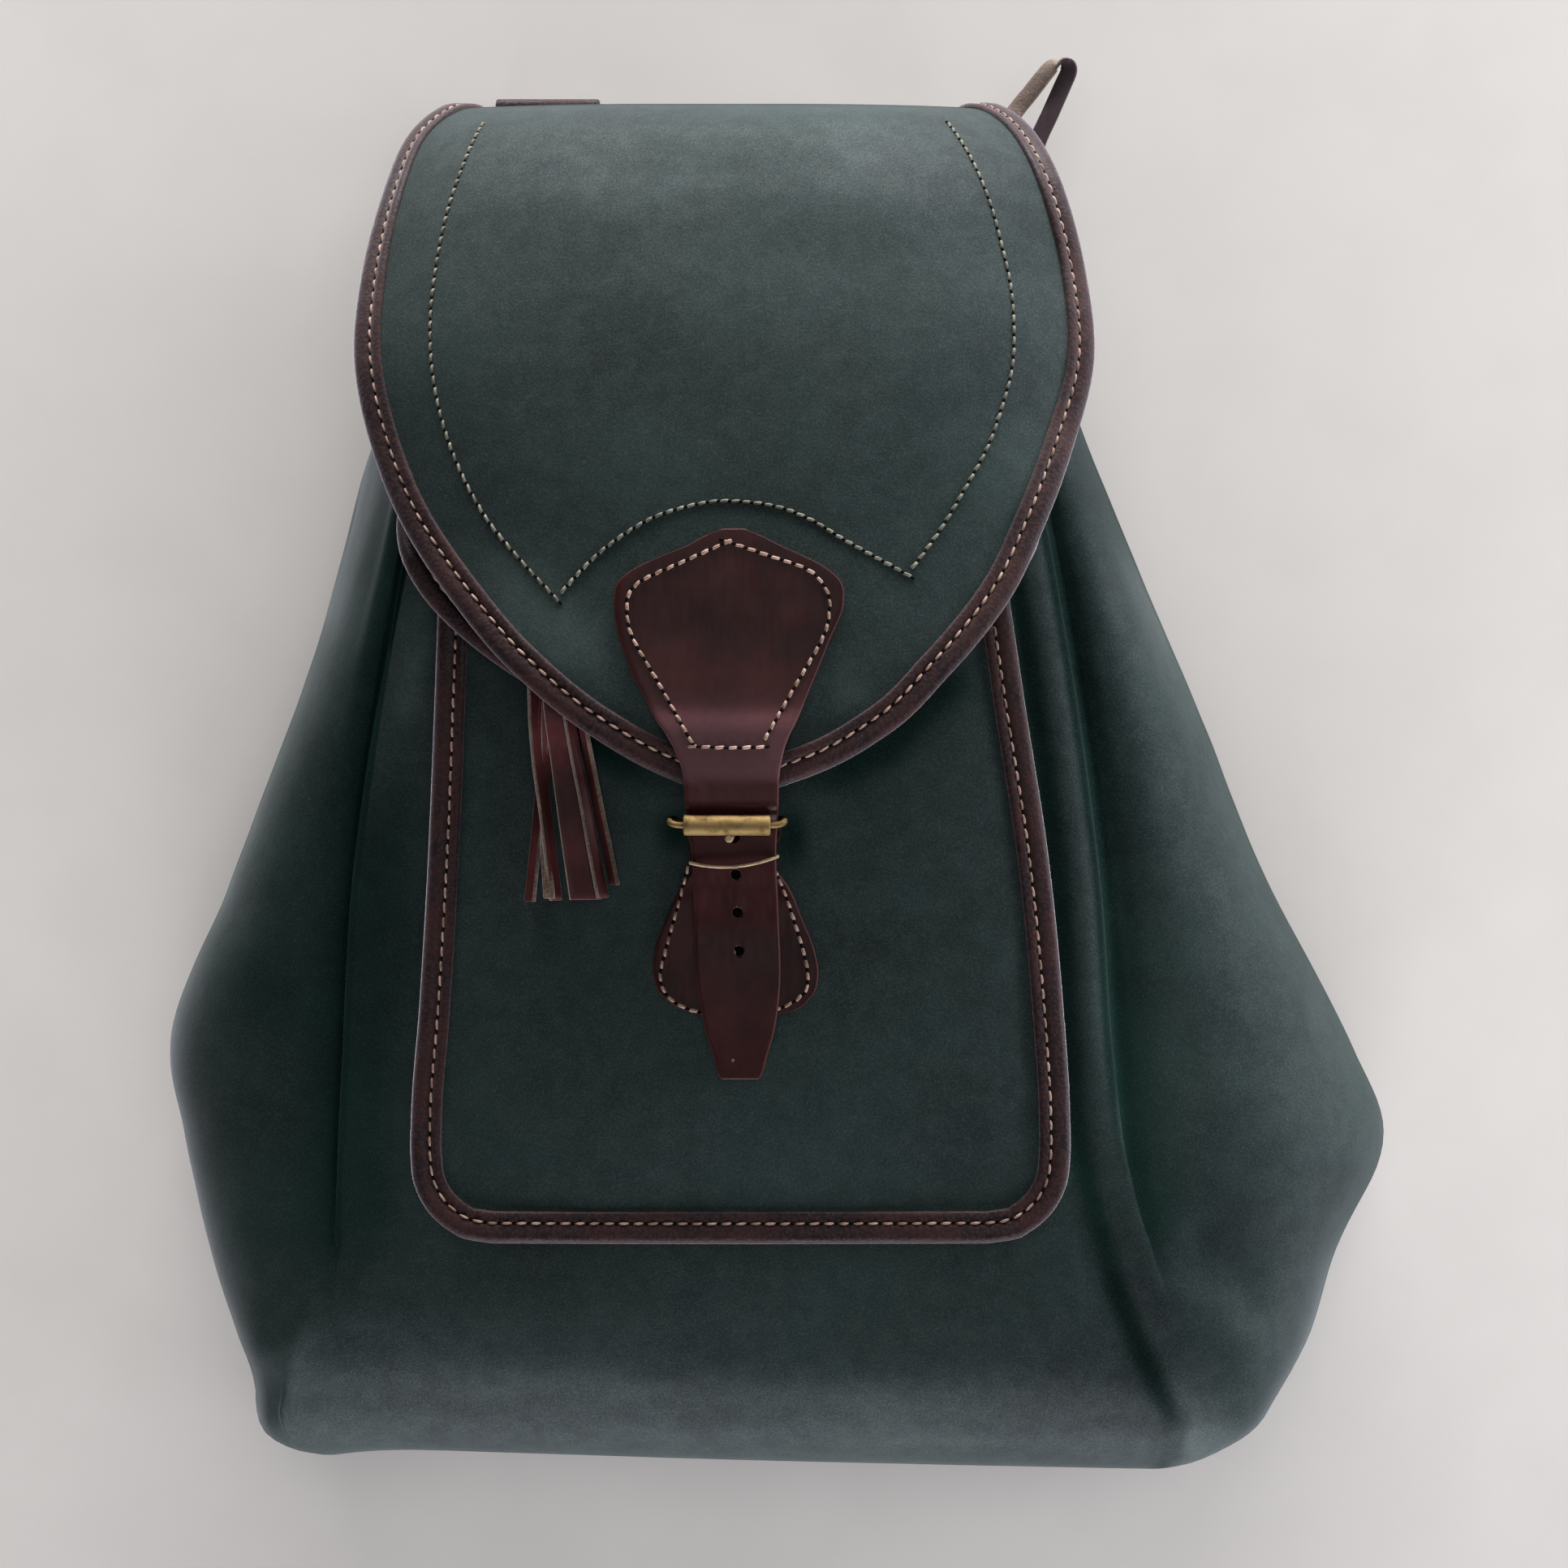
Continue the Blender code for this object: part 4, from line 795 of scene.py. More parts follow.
def bodySections(ys):
    # Sections from the left seam over the front to the right seam, one row for each y
    left, crease, ridge, right, front, sag, gather = (
        read(bodyTable, name, ys) for name in list(bodyTable)[2:])
    backZ, foldZ, inset = body["backZ"], body["foldZ"], body["seamInset"]
    flat = np.full_like(ys, 1.0)
    # The strip between the two lies over the sides: a step down at its left edge, and at its
    # right edge a rounded slope that ends in a sharp foot. Both fade out before the base.
    lip = eased((ys - body["creaseEnds"]) / body["creaseFade"])
    shoulder = eased((ys - body["ridgeEnds"]) / body["ridgeFade"])
    step, groove = body["creaseStep"] * lip, body["grooveDepth"] * lip
    slope, valley = body["ridgeStep"] * shoulder, body["valleyDepth"] * shoulder
    rise = 0.3 + 0.7 * shoulder
    foot = ridge + body["ridgeFoot"]
    leftSide, rightSide = crease - left, right - foot
    leftTop, rightTop = front - step - 0.3 * lip, front - slope - 1.9 * rise
    fullLeft = body["fullLeft"] + (body["fullLeftTop"] - body["fullLeft"]) * eased(
        (ys - body["fullFrom"]) / body["fullLength"])

    def fullSide(out, top, power):
        return foldZ + (top - foldZ) * (1 - out ** power) ** (1 / power)

    features = [
        (0.0, left + inset, backZ * flat),
        (1.0, left + 0.5 * inset, sag),
        (2.0, left + 0.1 * inset, 0.35 * foldZ * flat),
        (3.0, left, foldZ * flat),
    ]
    for place, out in ((3.5, 0.95), (4.2, 0.8), (5.0, 0.58), (5.7, 0.34)):
        features.append((place, crease - out * leftSide, fullSide(out, leftTop, fullLeft)))
    features.append((6.1, crease - 6.5, fullSide(0.11, leftTop, fullLeft)))
    for place, out, lipOut, up, sunk in creaseForm:
        features.append((place, crease + out + lipOut * lip, leftTop + up * lip - sunk * groove))
    features.append((7.1, crease - 0.1, front - 0.35 * lip - 0.3 * step))
    for place, share in ((7.3, 0.008), (7.6, 0.03), (8.0, 0.08), (9.0, 0.28), (10.0, 0.5),
                         (11.0, 0.72), (12.0, 0.94)):
        x = crease + (ridge - crease) * share
        features.append((place, x, frontHeight(x, ys)))
    for place, out, down, share, sunk in ridgeForm:
        features.append((place, foot + out, front - down * rise - share * slope - sunk * valley))
    features.append((13.4, foot + 1.4, rightTop - 0.1 - 0.95 * valley))
    for place, out, dip in ((13.7, 0.08, 0.9), (14.0, 0.19, 0.45), (14.6, 0.36, 0.0),
                            (15.3, 0.58, 0.0), (16.0, 0.8, 0.0), (16.5, 0.95, 0.0)):
        features.append((place, foot + out * rightSide,
                         fullSide(out, rightTop, body["fullRight"]) - dip * valley))
    features += [
        (17.0, right, foldZ * flat),
        (18.0, right - 0.1 * inset, 0.35 * foldZ * flat),
        (19.0, right - 0.5 * inset, sag),
        (20.0, right - inset, backZ * flat),
    ]
    rows = np.stack([np.stack([x, z], axis=-1) for _, x, z in features], axis=1)
    places = np.array([place for place, _, _ in features])
    section = smoothThrough(rows, body["perSpan"])
    fine = np.interp(np.arange(section.shape[1]) / body["perSpan"], np.arange(len(places)), places)
    along = unit(np.gradient(section, axis=1))
    outward = np.stack([-along[..., 1], along[..., 0]], axis=-1)
    within = eased((np.minimum(fine, places[-1] - fine) - 2.0) / 2.0)
    ripple = gather[:, None] * within * np.cos(math.pi * fine)
    return section + outward * ripple[..., None]


def bodyGrid():
    ys = np.linspace(bodyTable["keys"][-1], body["baseStart"], body["rows"])
    section = bodySections(ys)
    rows = [np.stack([s[:, 0], np.full(len(s), y), s[:, 1]], axis=1) for y, s in zip(ys, section)]
    low = bodyTable["left"][0][0], bodyTable["right"][0][0]
    middle, half = (low[0] + low[1]) / 2, (low[1] - low[0]) / 2
    height = bodyTable["front"][0][0] - body["backZ"]
    last = section[-1]
    for turn in np.radians(np.linspace(0.0, 90.0, 12)[1:]):
        shrink = body["baseRounding"] * (1 - math.cos(turn))
        drop = body["baseTilt"] * math.sin(turn) + body["baseDrop"] * (1 - math.cos(turn))
        rows.append(np.stack([
            middle + (last[:, 0] - middle) * (1 - shrink / half),
            np.full(len(last), body["baseStart"] - body["baseRounding"] * math.sin(turn)),
            body["backZ"] + (last[:, 1] - body["backZ"]) * (1 - drop / height)], axis=1))
    grid = np.array(rows)
    for centre, reach, before, after in bodyCorners:
        off = grid[..., :2] - centre
        out = np.maximum(off / reach * (math.copysign(1.0, centre[0]), -1.0), 1e-6)
        first = (out ** before).sum(axis=-1) ** (1 / before)
        second = (out ** after).sum(axis=-1) ** (1 / after)
        push = (first / second - 1.0) * np.minimum(first, 1.05) ** 4
        grid[..., :2] += off * push[..., None]
    nearCorner = nearPlace(grid[..., 0] - body["cornerX"], body["cornerWidth"])
    grid[..., 1] -= body["cornerHang"] * nearCorner * eased(
        (body["cornerFrom"] - grid[..., 1]) / body["cornerFade"])
    grid[..., 1] += body["baseSlope"] * grid[..., 0] * eased(
        (body["skewStart"] - grid[..., 1]) / body["skewLength"])
    return grid


bodyFace = bodyGrid()
bodyNormals = normalsOf(bodyFace)
bx, by = bodyFace[..., 0], bodyFace[..., 1]
facingUp = eased((bodyNormals[..., 2] + 0.05) / 0.4)
creaseOff, ridgeOff = read(bodyTable, "crease", by) - bx, bx - read(bodyTable, "ridge", by)
pressed = marked(bx, by, bodyFolds)
onSides = eased(np.maximum(creaseOff, ridgeOff) / 12.0)
for where, length, height, seed in body["waves"]:
    part = onSides if where == "sides" else 1 - onSides
    pressed += height * waves(bx, by, length, seed) * part
# The left side and its strip fall away towards the neck
pressed -= body["shoulderFall"] * eased((by + 20.0) / 110.0) * eased((creaseOff + 22.0) / 30.0)
# The strip beside the pocket dips and slopes up to the ridge
stripEnds = eased((by + 132.0) / 30.0) * eased((70.0 - by) / 40.0)
stripDip = eased((ridgeOff + 15.5) / 2.5) * (1 - eased((ridgeOff + 12.0) / 9.5))
pressed -= body["stripDip"] * stripDip * stripEnds
# They go along directions that turn steadily from side to side, so that steps don't pinch
outwards = unit(np.stack([0.0045 * bx, 0.0 * bx, 1.0 + 0.0 * bx], axis=-1))
bodyFace = bodyFace + outwards * (pressed * facingUp)[..., None]
columnsIn = np.minimum(np.arange(bodyFace.shape[1]), np.arange(bodyFace.shape[1])[::-1])
bodyFace[..., 2] += body["seamTuck"] * (1 - eased(columnsIn / 5.0))[None]
# Painted light and shade: the nubuck is painted lighter along the ridge, on the upper left
# and at the edge of the base, and painted darker, its gloss and sheen cut, on the ridge's
# slope, in the hollows beside the crease, the ridge and the pocket, and near the right edge
bodyPaintedLightShade = (
    (((92.0, 76.0), (104.0, 50.0), (122.0, 20.0)), 9.0, 40.0, 0.7),
    (((-139.0, 64.0), (-134.0, 30.0)), 9.0, 24.0, 0.35),
    (((-107.0, 42.0), (-112.0, 4.0)), 7.0, 14.0, 0.25),
    (((-152.0, -40.0), (-160.0, -90.0)), 16.0, 30.0, -0.4),
    (((100.0, -204.0), (122.0, -203.0), (142.0, -190.0)), 12.0, 30.0, 0.9),
    (((-138.0, -192.0), (-118.0, -182.0)), 12.0, 20.0, -0.5),
)
footOff = ridgeOff - body["ridgeFoot"]
rightOff = read(bodyTable, "right", by) - bx
lowEnd, topEnd = eased((by + 168.0) / 40.0), eased((120.0 - by) / 60.0)
onSlope, beyondFoot, leftOfCrease = footOff < -0.2, footOff > -0.2, creaseOff > -1.8
paintedLightShade = 0.15 * nearPlace(ridgeOff + 3.5, 2.5)
paintedLightShade -= nearPlace(ridgeOff - 1.8, 2.2) * onSlope * eased((by + 140.0) / 60.0)
paintedLightShade -= np.exp(-np.maximum(creaseOff, 0.0) / 20.0) * leftOfCrease * lowEnd * topEnd
paintedLightShade -= 0.7 * nearPlace(np.maximum(-creaseOff - 8.0, 0.0), 14.0) * ~leftOfCrease * (
    lowEnd * eased((20.0 - by) / 50.0))
paintedLightShade += 0.4 * nearPlace(creaseOff + 10.0, 5.0) * eased(by / 20.0) * eased((70.0 - by) / 20.0)
paintedLightShade -= np.exp(-np.maximum(footOff, 0.0) / 17.0) * beyondFoot * lowEnd * topEnd
paintedLightShade -= 0.9 * nearPlace(ridgeOff + 10.0, 5.0)
paintedLightShade += 0.2 * nearPlace(by - body["baseStart"] + 8.0, 7.0)
paintedLightShade -= 0.6 * nearPlace(rightOff, 10.0) * eased((by + 170.0) / 40.0)
paintedLightShade += marked(bx, by, bodyPaintedLightShade)
paintedLightShade = np.clip(paintedLightShade, -1.0, 1.0)
bodyShell = sheet("bodyShell", bodyFace, body["wall"], [nubuck], paintedLightAndWear=paintedLightShade)
finishPiece(bodyShell, "nubuck", "body_front")

# The flat back, its long edges turned in at the seams, and the base, a little domed
backRows = []
for row in bodyFace[::-1]:
    ends = (row[0] + (body["seamIn"], 0.0, -body["seamTuck"]),
            row[-1] - (body["seamIn"], 0.0, body["seamTuck"]))
    share = np.linspace(0.0, 1.0, 41)[:, None]
    line = ends[0] + (ends[1] - ends[0]) * share
    tuck = 1 - eased(np.minimum(share[:, 0], 1 - share[:, 0]) / 0.025)
    line[:, 2] = body["backZ"] + body["turnedIn"] * tuck
    backRows.append(line)
backPanel = sheet("backPanel", np.array(backRows), body["backWall"], [nubuck, lining])
finishPiece(backPanel, "nubuck", "back_panel")

rim = bodyFace[-1]
rimAlong = unit(np.gradient(rim, axis=0) * (1.0, 0.0, 1.0))
rimInward = np.stack([rimAlong[:, 2], np.zeros(len(rim)), -rimAlong[:, 0]], axis=1)
base = {"inset": 0.8, "insetBelow": 2.6, "overBack": 2.8, "middleZ": 30.0,
        # of the way to its middle: where the panel is flat, its edge is set back and it is domed
        "flatFrom": 0.12, "edgeTo": 0.03, "edgeBack": 0.9, "domedFrom": 0.4, "dome": 0.5,
        "rings": (0.0, 0.012, 0.03, 0.08, 0.2, 0.4, 0.6, 0.8, 0.97)}
outline = rim + rimInward * (
    base["inset"] + base["insetBelow"] * np.clip(rimInward[:, 2:], 0.0, 1.0))
outline[:, 2] = np.maximum(outline[:, 2], body["backZ"] + base["overBack"])
baseMiddle = np.array([outline[:, 0].mean(), 0.0, base["middleZ"]])
baseLean = np.polyfit(outline[:, 0], outline[:, 1], 1)
baseRings = []
for share in base["rings"]:
    ring = outline + (baseMiddle - outline) * (share, 0.0, share)
    ring[:, 1] += (np.polyval(baseLean, ring[:, 0]) - ring[:, 1]) * eased(share / base["flatFrom"])
    ring[:, 1] += (base["edgeBack"] * (1 - eased(share / base["edgeTo"]))
                   - base["dome"] * eased(share / base["domedFrom"]))
    baseRings.append(ring)
inside = [ring + (0.0, body["wall"], 0.0) for ring in reversed(baseRings)]
basePanel = loft("basePanel", [*reversed(inside), *reversed(baseRings)][::-1], [nubuck],
                 paintedLightAndWear=np.zeros((2 * len(baseRings), len(rim))))
finishPiece(basePanel, "nubuck", "base_panel")
print("body made")


# Bindings, folded over the rims of sheets
binding = {
    "step": 1.4, "softened": 3, "stitchIn": 4.45, "stitchUp": 0.86,
    # the outer side: how far in from the sheet's edge, and how high above its face
    "upper": ((7.7, 0.15), (7.6, 0.75), (7.2, 1.1), (6.5, 1.3), (5.7, 1.3), (5.05, 1.12),
              (4.45, 0.8), (3.8, 1.18), (2.9, 1.58), (1.7, 1.76), (0.5, 1.7), (-0.5, 1.35),
              (-1.15, 0.75), (-1.5, 0.0)),
    # then round the edge and under: how far in, and how far below the wall's other face
    "under": ((-1.55, 0.3), (-1.2, 1.05), (-0.4, 1.5), (1.5, 1.6), (4.6, 1.55), (5.0, 1.2),
              (4.8, 0.5), (1.0, 0.45)),
}


def rimOf(grid):
    # A sheet's rim as even steps, with the directions into the sheet and out of its face
    columns = grid.shape[1]
    normals = normalsOf(grid)
    order = ([(r, 0) for r in range(len(grid))]
             + [(len(grid) - 1, c) for c in range(1, columns - 1)]
             + [(r, columns - 1) for r in reversed(range(len(grid)))])
    points = np.array([grid[r, c] for r, c in order])
    facing = np.array([normals[r, c] for r, c in order])
    points, facing = evenSteps(points, binding["step"], facing)
    along = softened(unit(np.gradient(points, axis=0)), binding["softened"])
    facing = unit(softened(facing, binding["softened"]))
    return points, unit(np.cross(facing, along)), facing


def boundEdge(part, grid, wall, seed, stitchSeed):
    # A folded binding over a sheet's rim, with its stitches in the pressed line they make
    points, inward, facing = rimOf(grid)
    along = np.arange(len(points)) * binding["step"]
    uneven = 0.1 * waves(along, along * 0, 23.0, seed)
    uneven = uneven + 0.06 * waves(along, along * 0, 7.0, seed + 1)
    rings = []
    for inside, up in binding["upper"]:
        swell = uneven * (1.0 if 0 < inside < 7.2 else 0.5)
        rings.append(points + inward * (inside + 0.4 * swell[:, None])
                     + facing * (up + swell)[:, None])
    for inside, down in binding["under"]:
        rings.append(points + inward * inside - facing * (wall + down))
    piece = loft(part + "Binding", np.stack(rings, axis=1), [grained])
    finishPiece(piece, "smooth_leather", part + "_binding")
    line = points + inward * binding["stitchIn"] + facing * (binding["stitchUp"] + uneven)[:, None]
    sewn(part + "Stitches", [(line, facing)], bindingStitch, tanThread, "smooth_leather",
         stitchSeed)


# The pocket on the front: its face, the upright gusset under it and its binding
pocket = {"depth": 12.0, "puff": 5.0, "puffLength": 45.0, "wall": 1.8, "gussetInset": 3.0,
          "gussetFoot": 0.6, "gussetGap": 1.95, "gussetBow": 0.5, "columns": 81, "rows": 84}
pocketTable = makeTable(("y", "left", "right"), (
    (-135.6, -82.0, 59.0), (-134.85, -87.7, 64.7), (-132.65, -93.0, 70.0), (-129.2, -97.6, 74.6),
    (-124.6, -101.1, 78.1), (-119.3, -103.3, 80.3), (-113.6, -104.0, 81.0),
    (-100.0, -103.9, 81.0), (-71.0, -101.7, 79.2),
    (-25.0, -99.0, 74.6), (15.0, -97.5, 68.5), (50.0, -96.5, 63.5),
))
pocketLow, pocketTop = pocketTable["keys"][[0, -1]]


def pocketPlain(x, y):
    side = np.minimum(np.abs(sideOf(*sidesOf(pocketTable, y), x)), 1.0)
    swell = (1 - side ** 2.5) * eased((y - pocketLow) / pocket["puffLength"])
    return frontHeight(x, y) + pocket["depth"] + pocket["puff"] * swell


pocketDents = (
    (((4.0, -43.0), (30.0, -49.0), (58.0, -46.0)), 7.0, 16.0, -0.7),
    (((2.0, -56.0), (30.0, -60.0), (62.0, -60.0)), 6.0, 16.0, 0.5),
    (((-60.0, -66.0), (-20.0, -84.0), (30.0, -84.0), (60.0, -70.0)), 14.0, 20.0, 0.5),
    (((-92.0, -60.0), (-94.0, -100.0), (-84.0, -122.0)), 5.0, 20.0, -0.5),
    (((70.0, -40.0), (73.0, -90.0), (66.0, -122.0)), 5.0, 20.0, -0.5),
)


def pocketHeight(x, y):
    left, right = sidesOf(pocketTable, y)
    inside = np.minimum.reduce([x - left, right - x, y - pocketLow + 0 * x])
    dents = 0.3 * waves(x, y, 46.0, 8) + marked(x, y, pocketDents)
    return pocketPlain(x, y) + dents * eased(inside / 14.0)


def leafGrid(table, ys, columns, height):
    # The face of a flat piece, between the left and right edges in its table
    x = across(*sidesOf(table, ys[:, None]), np.linspace(-1.0, 1.0, columns)[None])
    y = np.broadcast_to(ys[:, None], x.shape)
    return np.stack([x, y, height(x, y)], axis=-1)


share = np.linspace(0.0, 1.0, pocket["rows"])
pocketYs = pocketTop + (pocketLow - pocketTop) * (1 - (1 - share) ** 1.45)
pocketGrid = leafGrid(pocketTable, pocketYs, pocket["columns"], pocketHeight)
# Painted shade: the nubuck's gloss and sheen are cut under the flap's edge and beside the strap
pocketPaintedShade = marked(pocketGrid[..., 0], pocketGrid[..., 1], (
    (((-76.0, 22.0), (-43.0, -2.0), (-30.0, -10.5)), 6.0, 20.0, -0.9),
    (((2.0, -10.5), (29.3, 3.1), (43.0, 16.8), (60.0, 33.0)), 7.0, 20.0, -0.9),
    (((-31.0, -10.0), (-30.0, -30.0)), 5.0, 10.0, -0.9),
    (((3.0, -10.0), (4.0, -34.0)), 5.0, 10.0, -0.9),
))
pocketFace = sheet("pocketFace", pocketGrid, pocket["wall"], [nubuck, lining],
                   paintedLightAndWear=np.maximum(pocketPaintedShade, -1.0))
finishPiece(pocketFace, "nubuck", "pocket_front")
boundEdge("pocket", pocketGrid, pocket["wall"], 20, 4)

points, inward, facing = rimOf(pocketGrid)
gussetRings = []
along = np.arange(len(points)) * binding["step"]
for depth in (0.0, pocket["wall"]):
    column = []
    place = points + inward * (pocket["gussetInset"] + depth)
    foot = frontHeight(place[:, 0], place[:, 1]) + pocket["gussetFoot"]
    top = points[:, 2] - pocket["wall"] - pocket["gussetGap"]
    for level in np.linspace(0.0, 1.0, 7):
        line = place.copy()
        line[:, 2] = foot + (top - foot) * level
        bow = pocket["gussetBow"] * math.sin(math.pi * level) * (
            0.6 + 0.4 * waves(along, along * 0, 40.0, 31))
        column.append(line - inward * bow[:, None])
    gussetRings.append(column)
gusset = loft("pocketGusset", np.stack([*gussetRings[0], *reversed(gussetRings[1])], axis=1),
              [nubuck])
finishPiece(gusset, "nubuck", "pocket_gusset")
print("pocket made")


# The lid over the pocket's mouth, which shows at both sides under the flap
lid = {"wall": 1.6, "rootY": 80.0, "overBody": 0.8, "overPocket": 3.9,
       "onPocketY": 54.0, "droop": 0.4, "droopLength": 14.0, "droopLeft": -99.0, "droopRight": 66.0,
       "boundFrom": 74.0, "columns": 61, "rows": 60}
lidTable = makeTable(("y", "left", "right"), (
    (7.0, -34.0, -4.0), (12.0, -49.0, 10.0), (20.0, -65.5, 26.0), (31.7, -83.6, 42.0),
    (45.0, -98.3, 57.5), (56.0, -105.6, 68.0), (66.0, -109.0, 73.0), (80.0, -109.6, 72.0),
))


def lidHeight(x, y):
    root = frontHeight(x, y) + lid["overBody"] + lid["wall"]
    over = pocketPlain(x, y) + lid["overPocket"] + lid["wall"]
    climb = eased((lid["rootY"] - y) / (lid["rootY"] - lid["onPocketY"]))
    off = np.maximum(np.maximum(lid["droopLeft"] - x, x - lid["droopRight"]), 0.0)
    return root + (over - root - lid["droop"] * eased(off / lid["droopLength"])) * climb


lidYs = np.linspace(lid["rootY"], lidTable["keys"][0], lid["rows"])
lidGrid = leafGrid(lidTable, lidYs, lid["columns"], lidHeight)
pocketLid = sheet("pocketLid", lidGrid, lid["wall"], [nubuck, lining])
finishPiece(pocketLid, "nubuck", "pocket_lid")
boundEdge("lid", lidGrid[lidYs <= lid["boundFrom"]], lid["wall"], 24, 5)
print("lid made")


# The main flap, from its root at the back over the top roll to its pointed tip
flap = {"wall": 2.0, "round": 2.6, "rollTop": 62.0, "rows": 150, "columns": 91,
        "boundFromRow": 9, "waves": 0.45, "wavesFrom": 90.0, "wavesFade": 60.0,
        # the right edge hangs lower than the left between these places along the flap
        "rightDrop": 7.0, "dropFrom": 120.0, "dropTo": 236.0, "dropLength": 45.0,
        # its left edge turns down beyond the roll, and the roll is nearly straight across
        "turnDown": 4.2, "turnMiddle": 125.0, "turnLength": 42.0,
        "straighten": 2.75, "straightEnds": 1.1, "rollMiddle": 76.0, "rollLength": 42.0}
flapTable = makeTable(("along", "y", "middle", "edge", "left", "right"), (
    (0.0, 168.8, 6.7, 6.7, -92.0, 58.0), (20.0, 185.0, 8.5, 8.0, -94.0, 59.5),
    (37.0, 198.5, 19.0, 16.0, -95.5, 60.5), (61.0, 204.5, 42.0, 34.0, -99.0, 62.0),
    (86.0, 200.0, 66.0, 50.0, -105.4, 69.2), (111.0, 187.0, 88.0, 64.5, -112.8, 76.9),
    (136.0, 166.0, 102.0, 78.5, -117.5, 83.8), (163.0, 141.0, 110.3, 90.0, -121.0, 88.7),
    (190.0, 115.0, 116.4, 99.0, -121.3, 89.4), (215.0, 90.0, 120.2, 104.5, -115.5, 82.3),
    (237.0, 68.0, 122.0, 110.0, -106.2, 73.7), (259.0, 46.0, 123.5, 116.4, -91.3, 62.9),
    (280.0, 25.0, 124.2, 121.8, -72.9, 45.9), (297.0, 8.0, 124.2, 123.0, -51.6, 28.0),
    (307.0, -2.0, 123.8, 123.2, -34.0, 10.0), (312.0, -7.0, 123.4, 123.2, -22.0, -4.0),
))
flapLength = flapTable["keys"][-1]


def flapPoint(along, side):
    y, middle, edge, left, right = (read(flapTable, name, along) for name in list(flapTable)[2:])
    x = across(left, right, side)
    sag = flap["waves"] * waves(x, y, 62.0, 12) * eased((1 - np.abs(side)) / 0.25)
    sag = sag * eased((along - flap["wavesFrom"]) / flap["wavesFade"])
    lowered = eased((along - flap["dropFrom"]) / flap["dropLength"]) * eased(
        (flap["dropTo"] - along) / flap["dropLength"])
    # from the middle of the right half outwards, all of it at the edge
    drop = flap["rightDrop"] * eased((side - 0.5) / 0.7) / eased(0.5 / 0.7) * lowered
    turned = nearPlace(along - flap["turnMiddle"], flap["turnLength"])
    drop = drop + flap["turnDown"] * eased((-0.88 - side) / 0.18) * turned
    straight = flap["straighten"] + (flap["straightEnds"] - flap["straighten"]) * side * side
    top = straight * nearPlace(along - flap["rollMiddle"], flap["rollLength"])
    z = edge + (middle - edge) * (1 - np.abs(side) ** flap["round"]) + sag - drop
    return np.stack(np.broadcast_arrays(x, y - top, z), axis=-1)


flapAlong = np.linspace(flap["rollTop"], flapLength, 1200)
flapFront = read(flapTable, "y", flapAlong)         # falls steadily from the roll to the tip


def flapPlace(x, y):
    along = np.interp(-y, -flapFront, flapAlong)
    return along, np.clip(sideOf(*sidesOf(flapTable, along), x), -1.0, 1.0)


def flapHeight(x, y):
    return flapPoint(*flapPlace(x, y))[..., 2]


def laidOnFlap(points, lift):
    # A drawn line laid on the flap, also where it goes over the top roll
    flat = curveThrough(points, 6)
    along, side = flapPlace(flat[:, 0], flat[:, 1])
    down = flapPoint(along + 0.5, side) - flapPoint(along - 0.5, side)
    right = flapPoint(along, side + 0.01) - flapPoint(along, side - 0.01)
    up = unit(np.cross(down, right))
    return flapPoint(along, side) + up * lift, up


flapGrid = flapPoint(np.linspace(0.0, flapLength, flap["rows"])[:, None],
                     np.linspace(-1.0, 1.0, flap["columns"])[None])
# Painted light and shade: the nubuck is painted lighter beside the binding, most on both
# sides of the tip, and painted darker behind the roll
flapPaintedLightShade = marked(flapGrid[..., 0], flapGrid[..., 1], (
    (((-92.0, 70.0), (-62.0, 36.0), (-40.0, 14.0)), 13.0, 30.0, 0.75),
    (((30.0, 28.0), (12.0, 8.0)), 11.0, 16.0, 0.5),
    (((-112.0, 150.0), (-113.0, 100.0)), 9.0, 30.0, 0.2),
    (((80.0, 160.0), (79.0, 100.0), (62.0, 66.0)), 12.0, 30.0, 0.25),
    (((-60.0, 176.0), (30.0, 176.0)), 16.0, 30.0, -0.4),
))
flapPaintedLightShade[: flap["rows"] // 4] = 0.0
mainFlap = sheet("mainFlap", flapGrid, flap["wall"], [nubuck, lining], paintedLightAndWear=flapPaintedLightShade)
finishPiece(mainFlap, "nubuck", "flap")
boundEdge("flap", flapGrid[flap["boundFromRow"]:], flap["wall"], 28, 6)


def laidOn(height, points, lift):
    # A drawn line laid on a surface, with the directions out of the surface
    flat = curveThrough(points, 6)
    x, y = flat[:, 0], flat[:, 1]
    z = height(x, y) + lift
    slopeX = (height(x + 1.0, y) - height(x - 1.0, y)) / 2
    slopeY = (height(x, y + 1.0) - height(x, y - 1.0)) / 2
    return np.stack([x, y, z], axis=1), np.stack([-slopeX, -slopeY, np.ones(len(x))], axis=1)


drawnLines = (
    ((-88.8, 191.0), (-93.1, 174.7), (-97.1, 157.3), (-99.3, 140.8),
     (-100.1, 124.8), (-98.9, 110.3), (-95.7, 96.1), (-90.3, 81.9), (-82.4, 67.9),
     (-72.8, 56.3), (-62.7, 45.5)),
    ((-62.7, 45.5), (-50.2, 58.4), (-36.6, 67.4), (-27.6, 70.6), (-18.6, 72.4), (-9.5, 72.2),
     (-0.5, 70.8), (8.6, 67.2), (17.6, 61.8), (26.7, 56.8), (35.3, 52.1)),
    ((35.3, 52.1), (44.3, 64.4), (52.0, 77.2), (58.4, 89.0), (62.7, 100.7), (65.9, 112.6),
     (66.6, 124.7), (66.0, 136.9), (63.7, 149.3), (60.8, 162.0), (56.4, 175.4),
     (49.9, 190.5)),
)
leftLine, arcLine, rightLine = [laidOnFlap(line, 0.1) for line in drawnLines]
sewn("drawnStitches", [leftLine, trimmed(rightLine, drawnStitch["pitch"])], drawnStitch,
     paleThread, "nubuck", 7)
sewn("arcStitches", [trimmed(arcLine, arcStitch["pitch"])], arcStitch, paleThread, "nubuck", 17)
print("flap made")


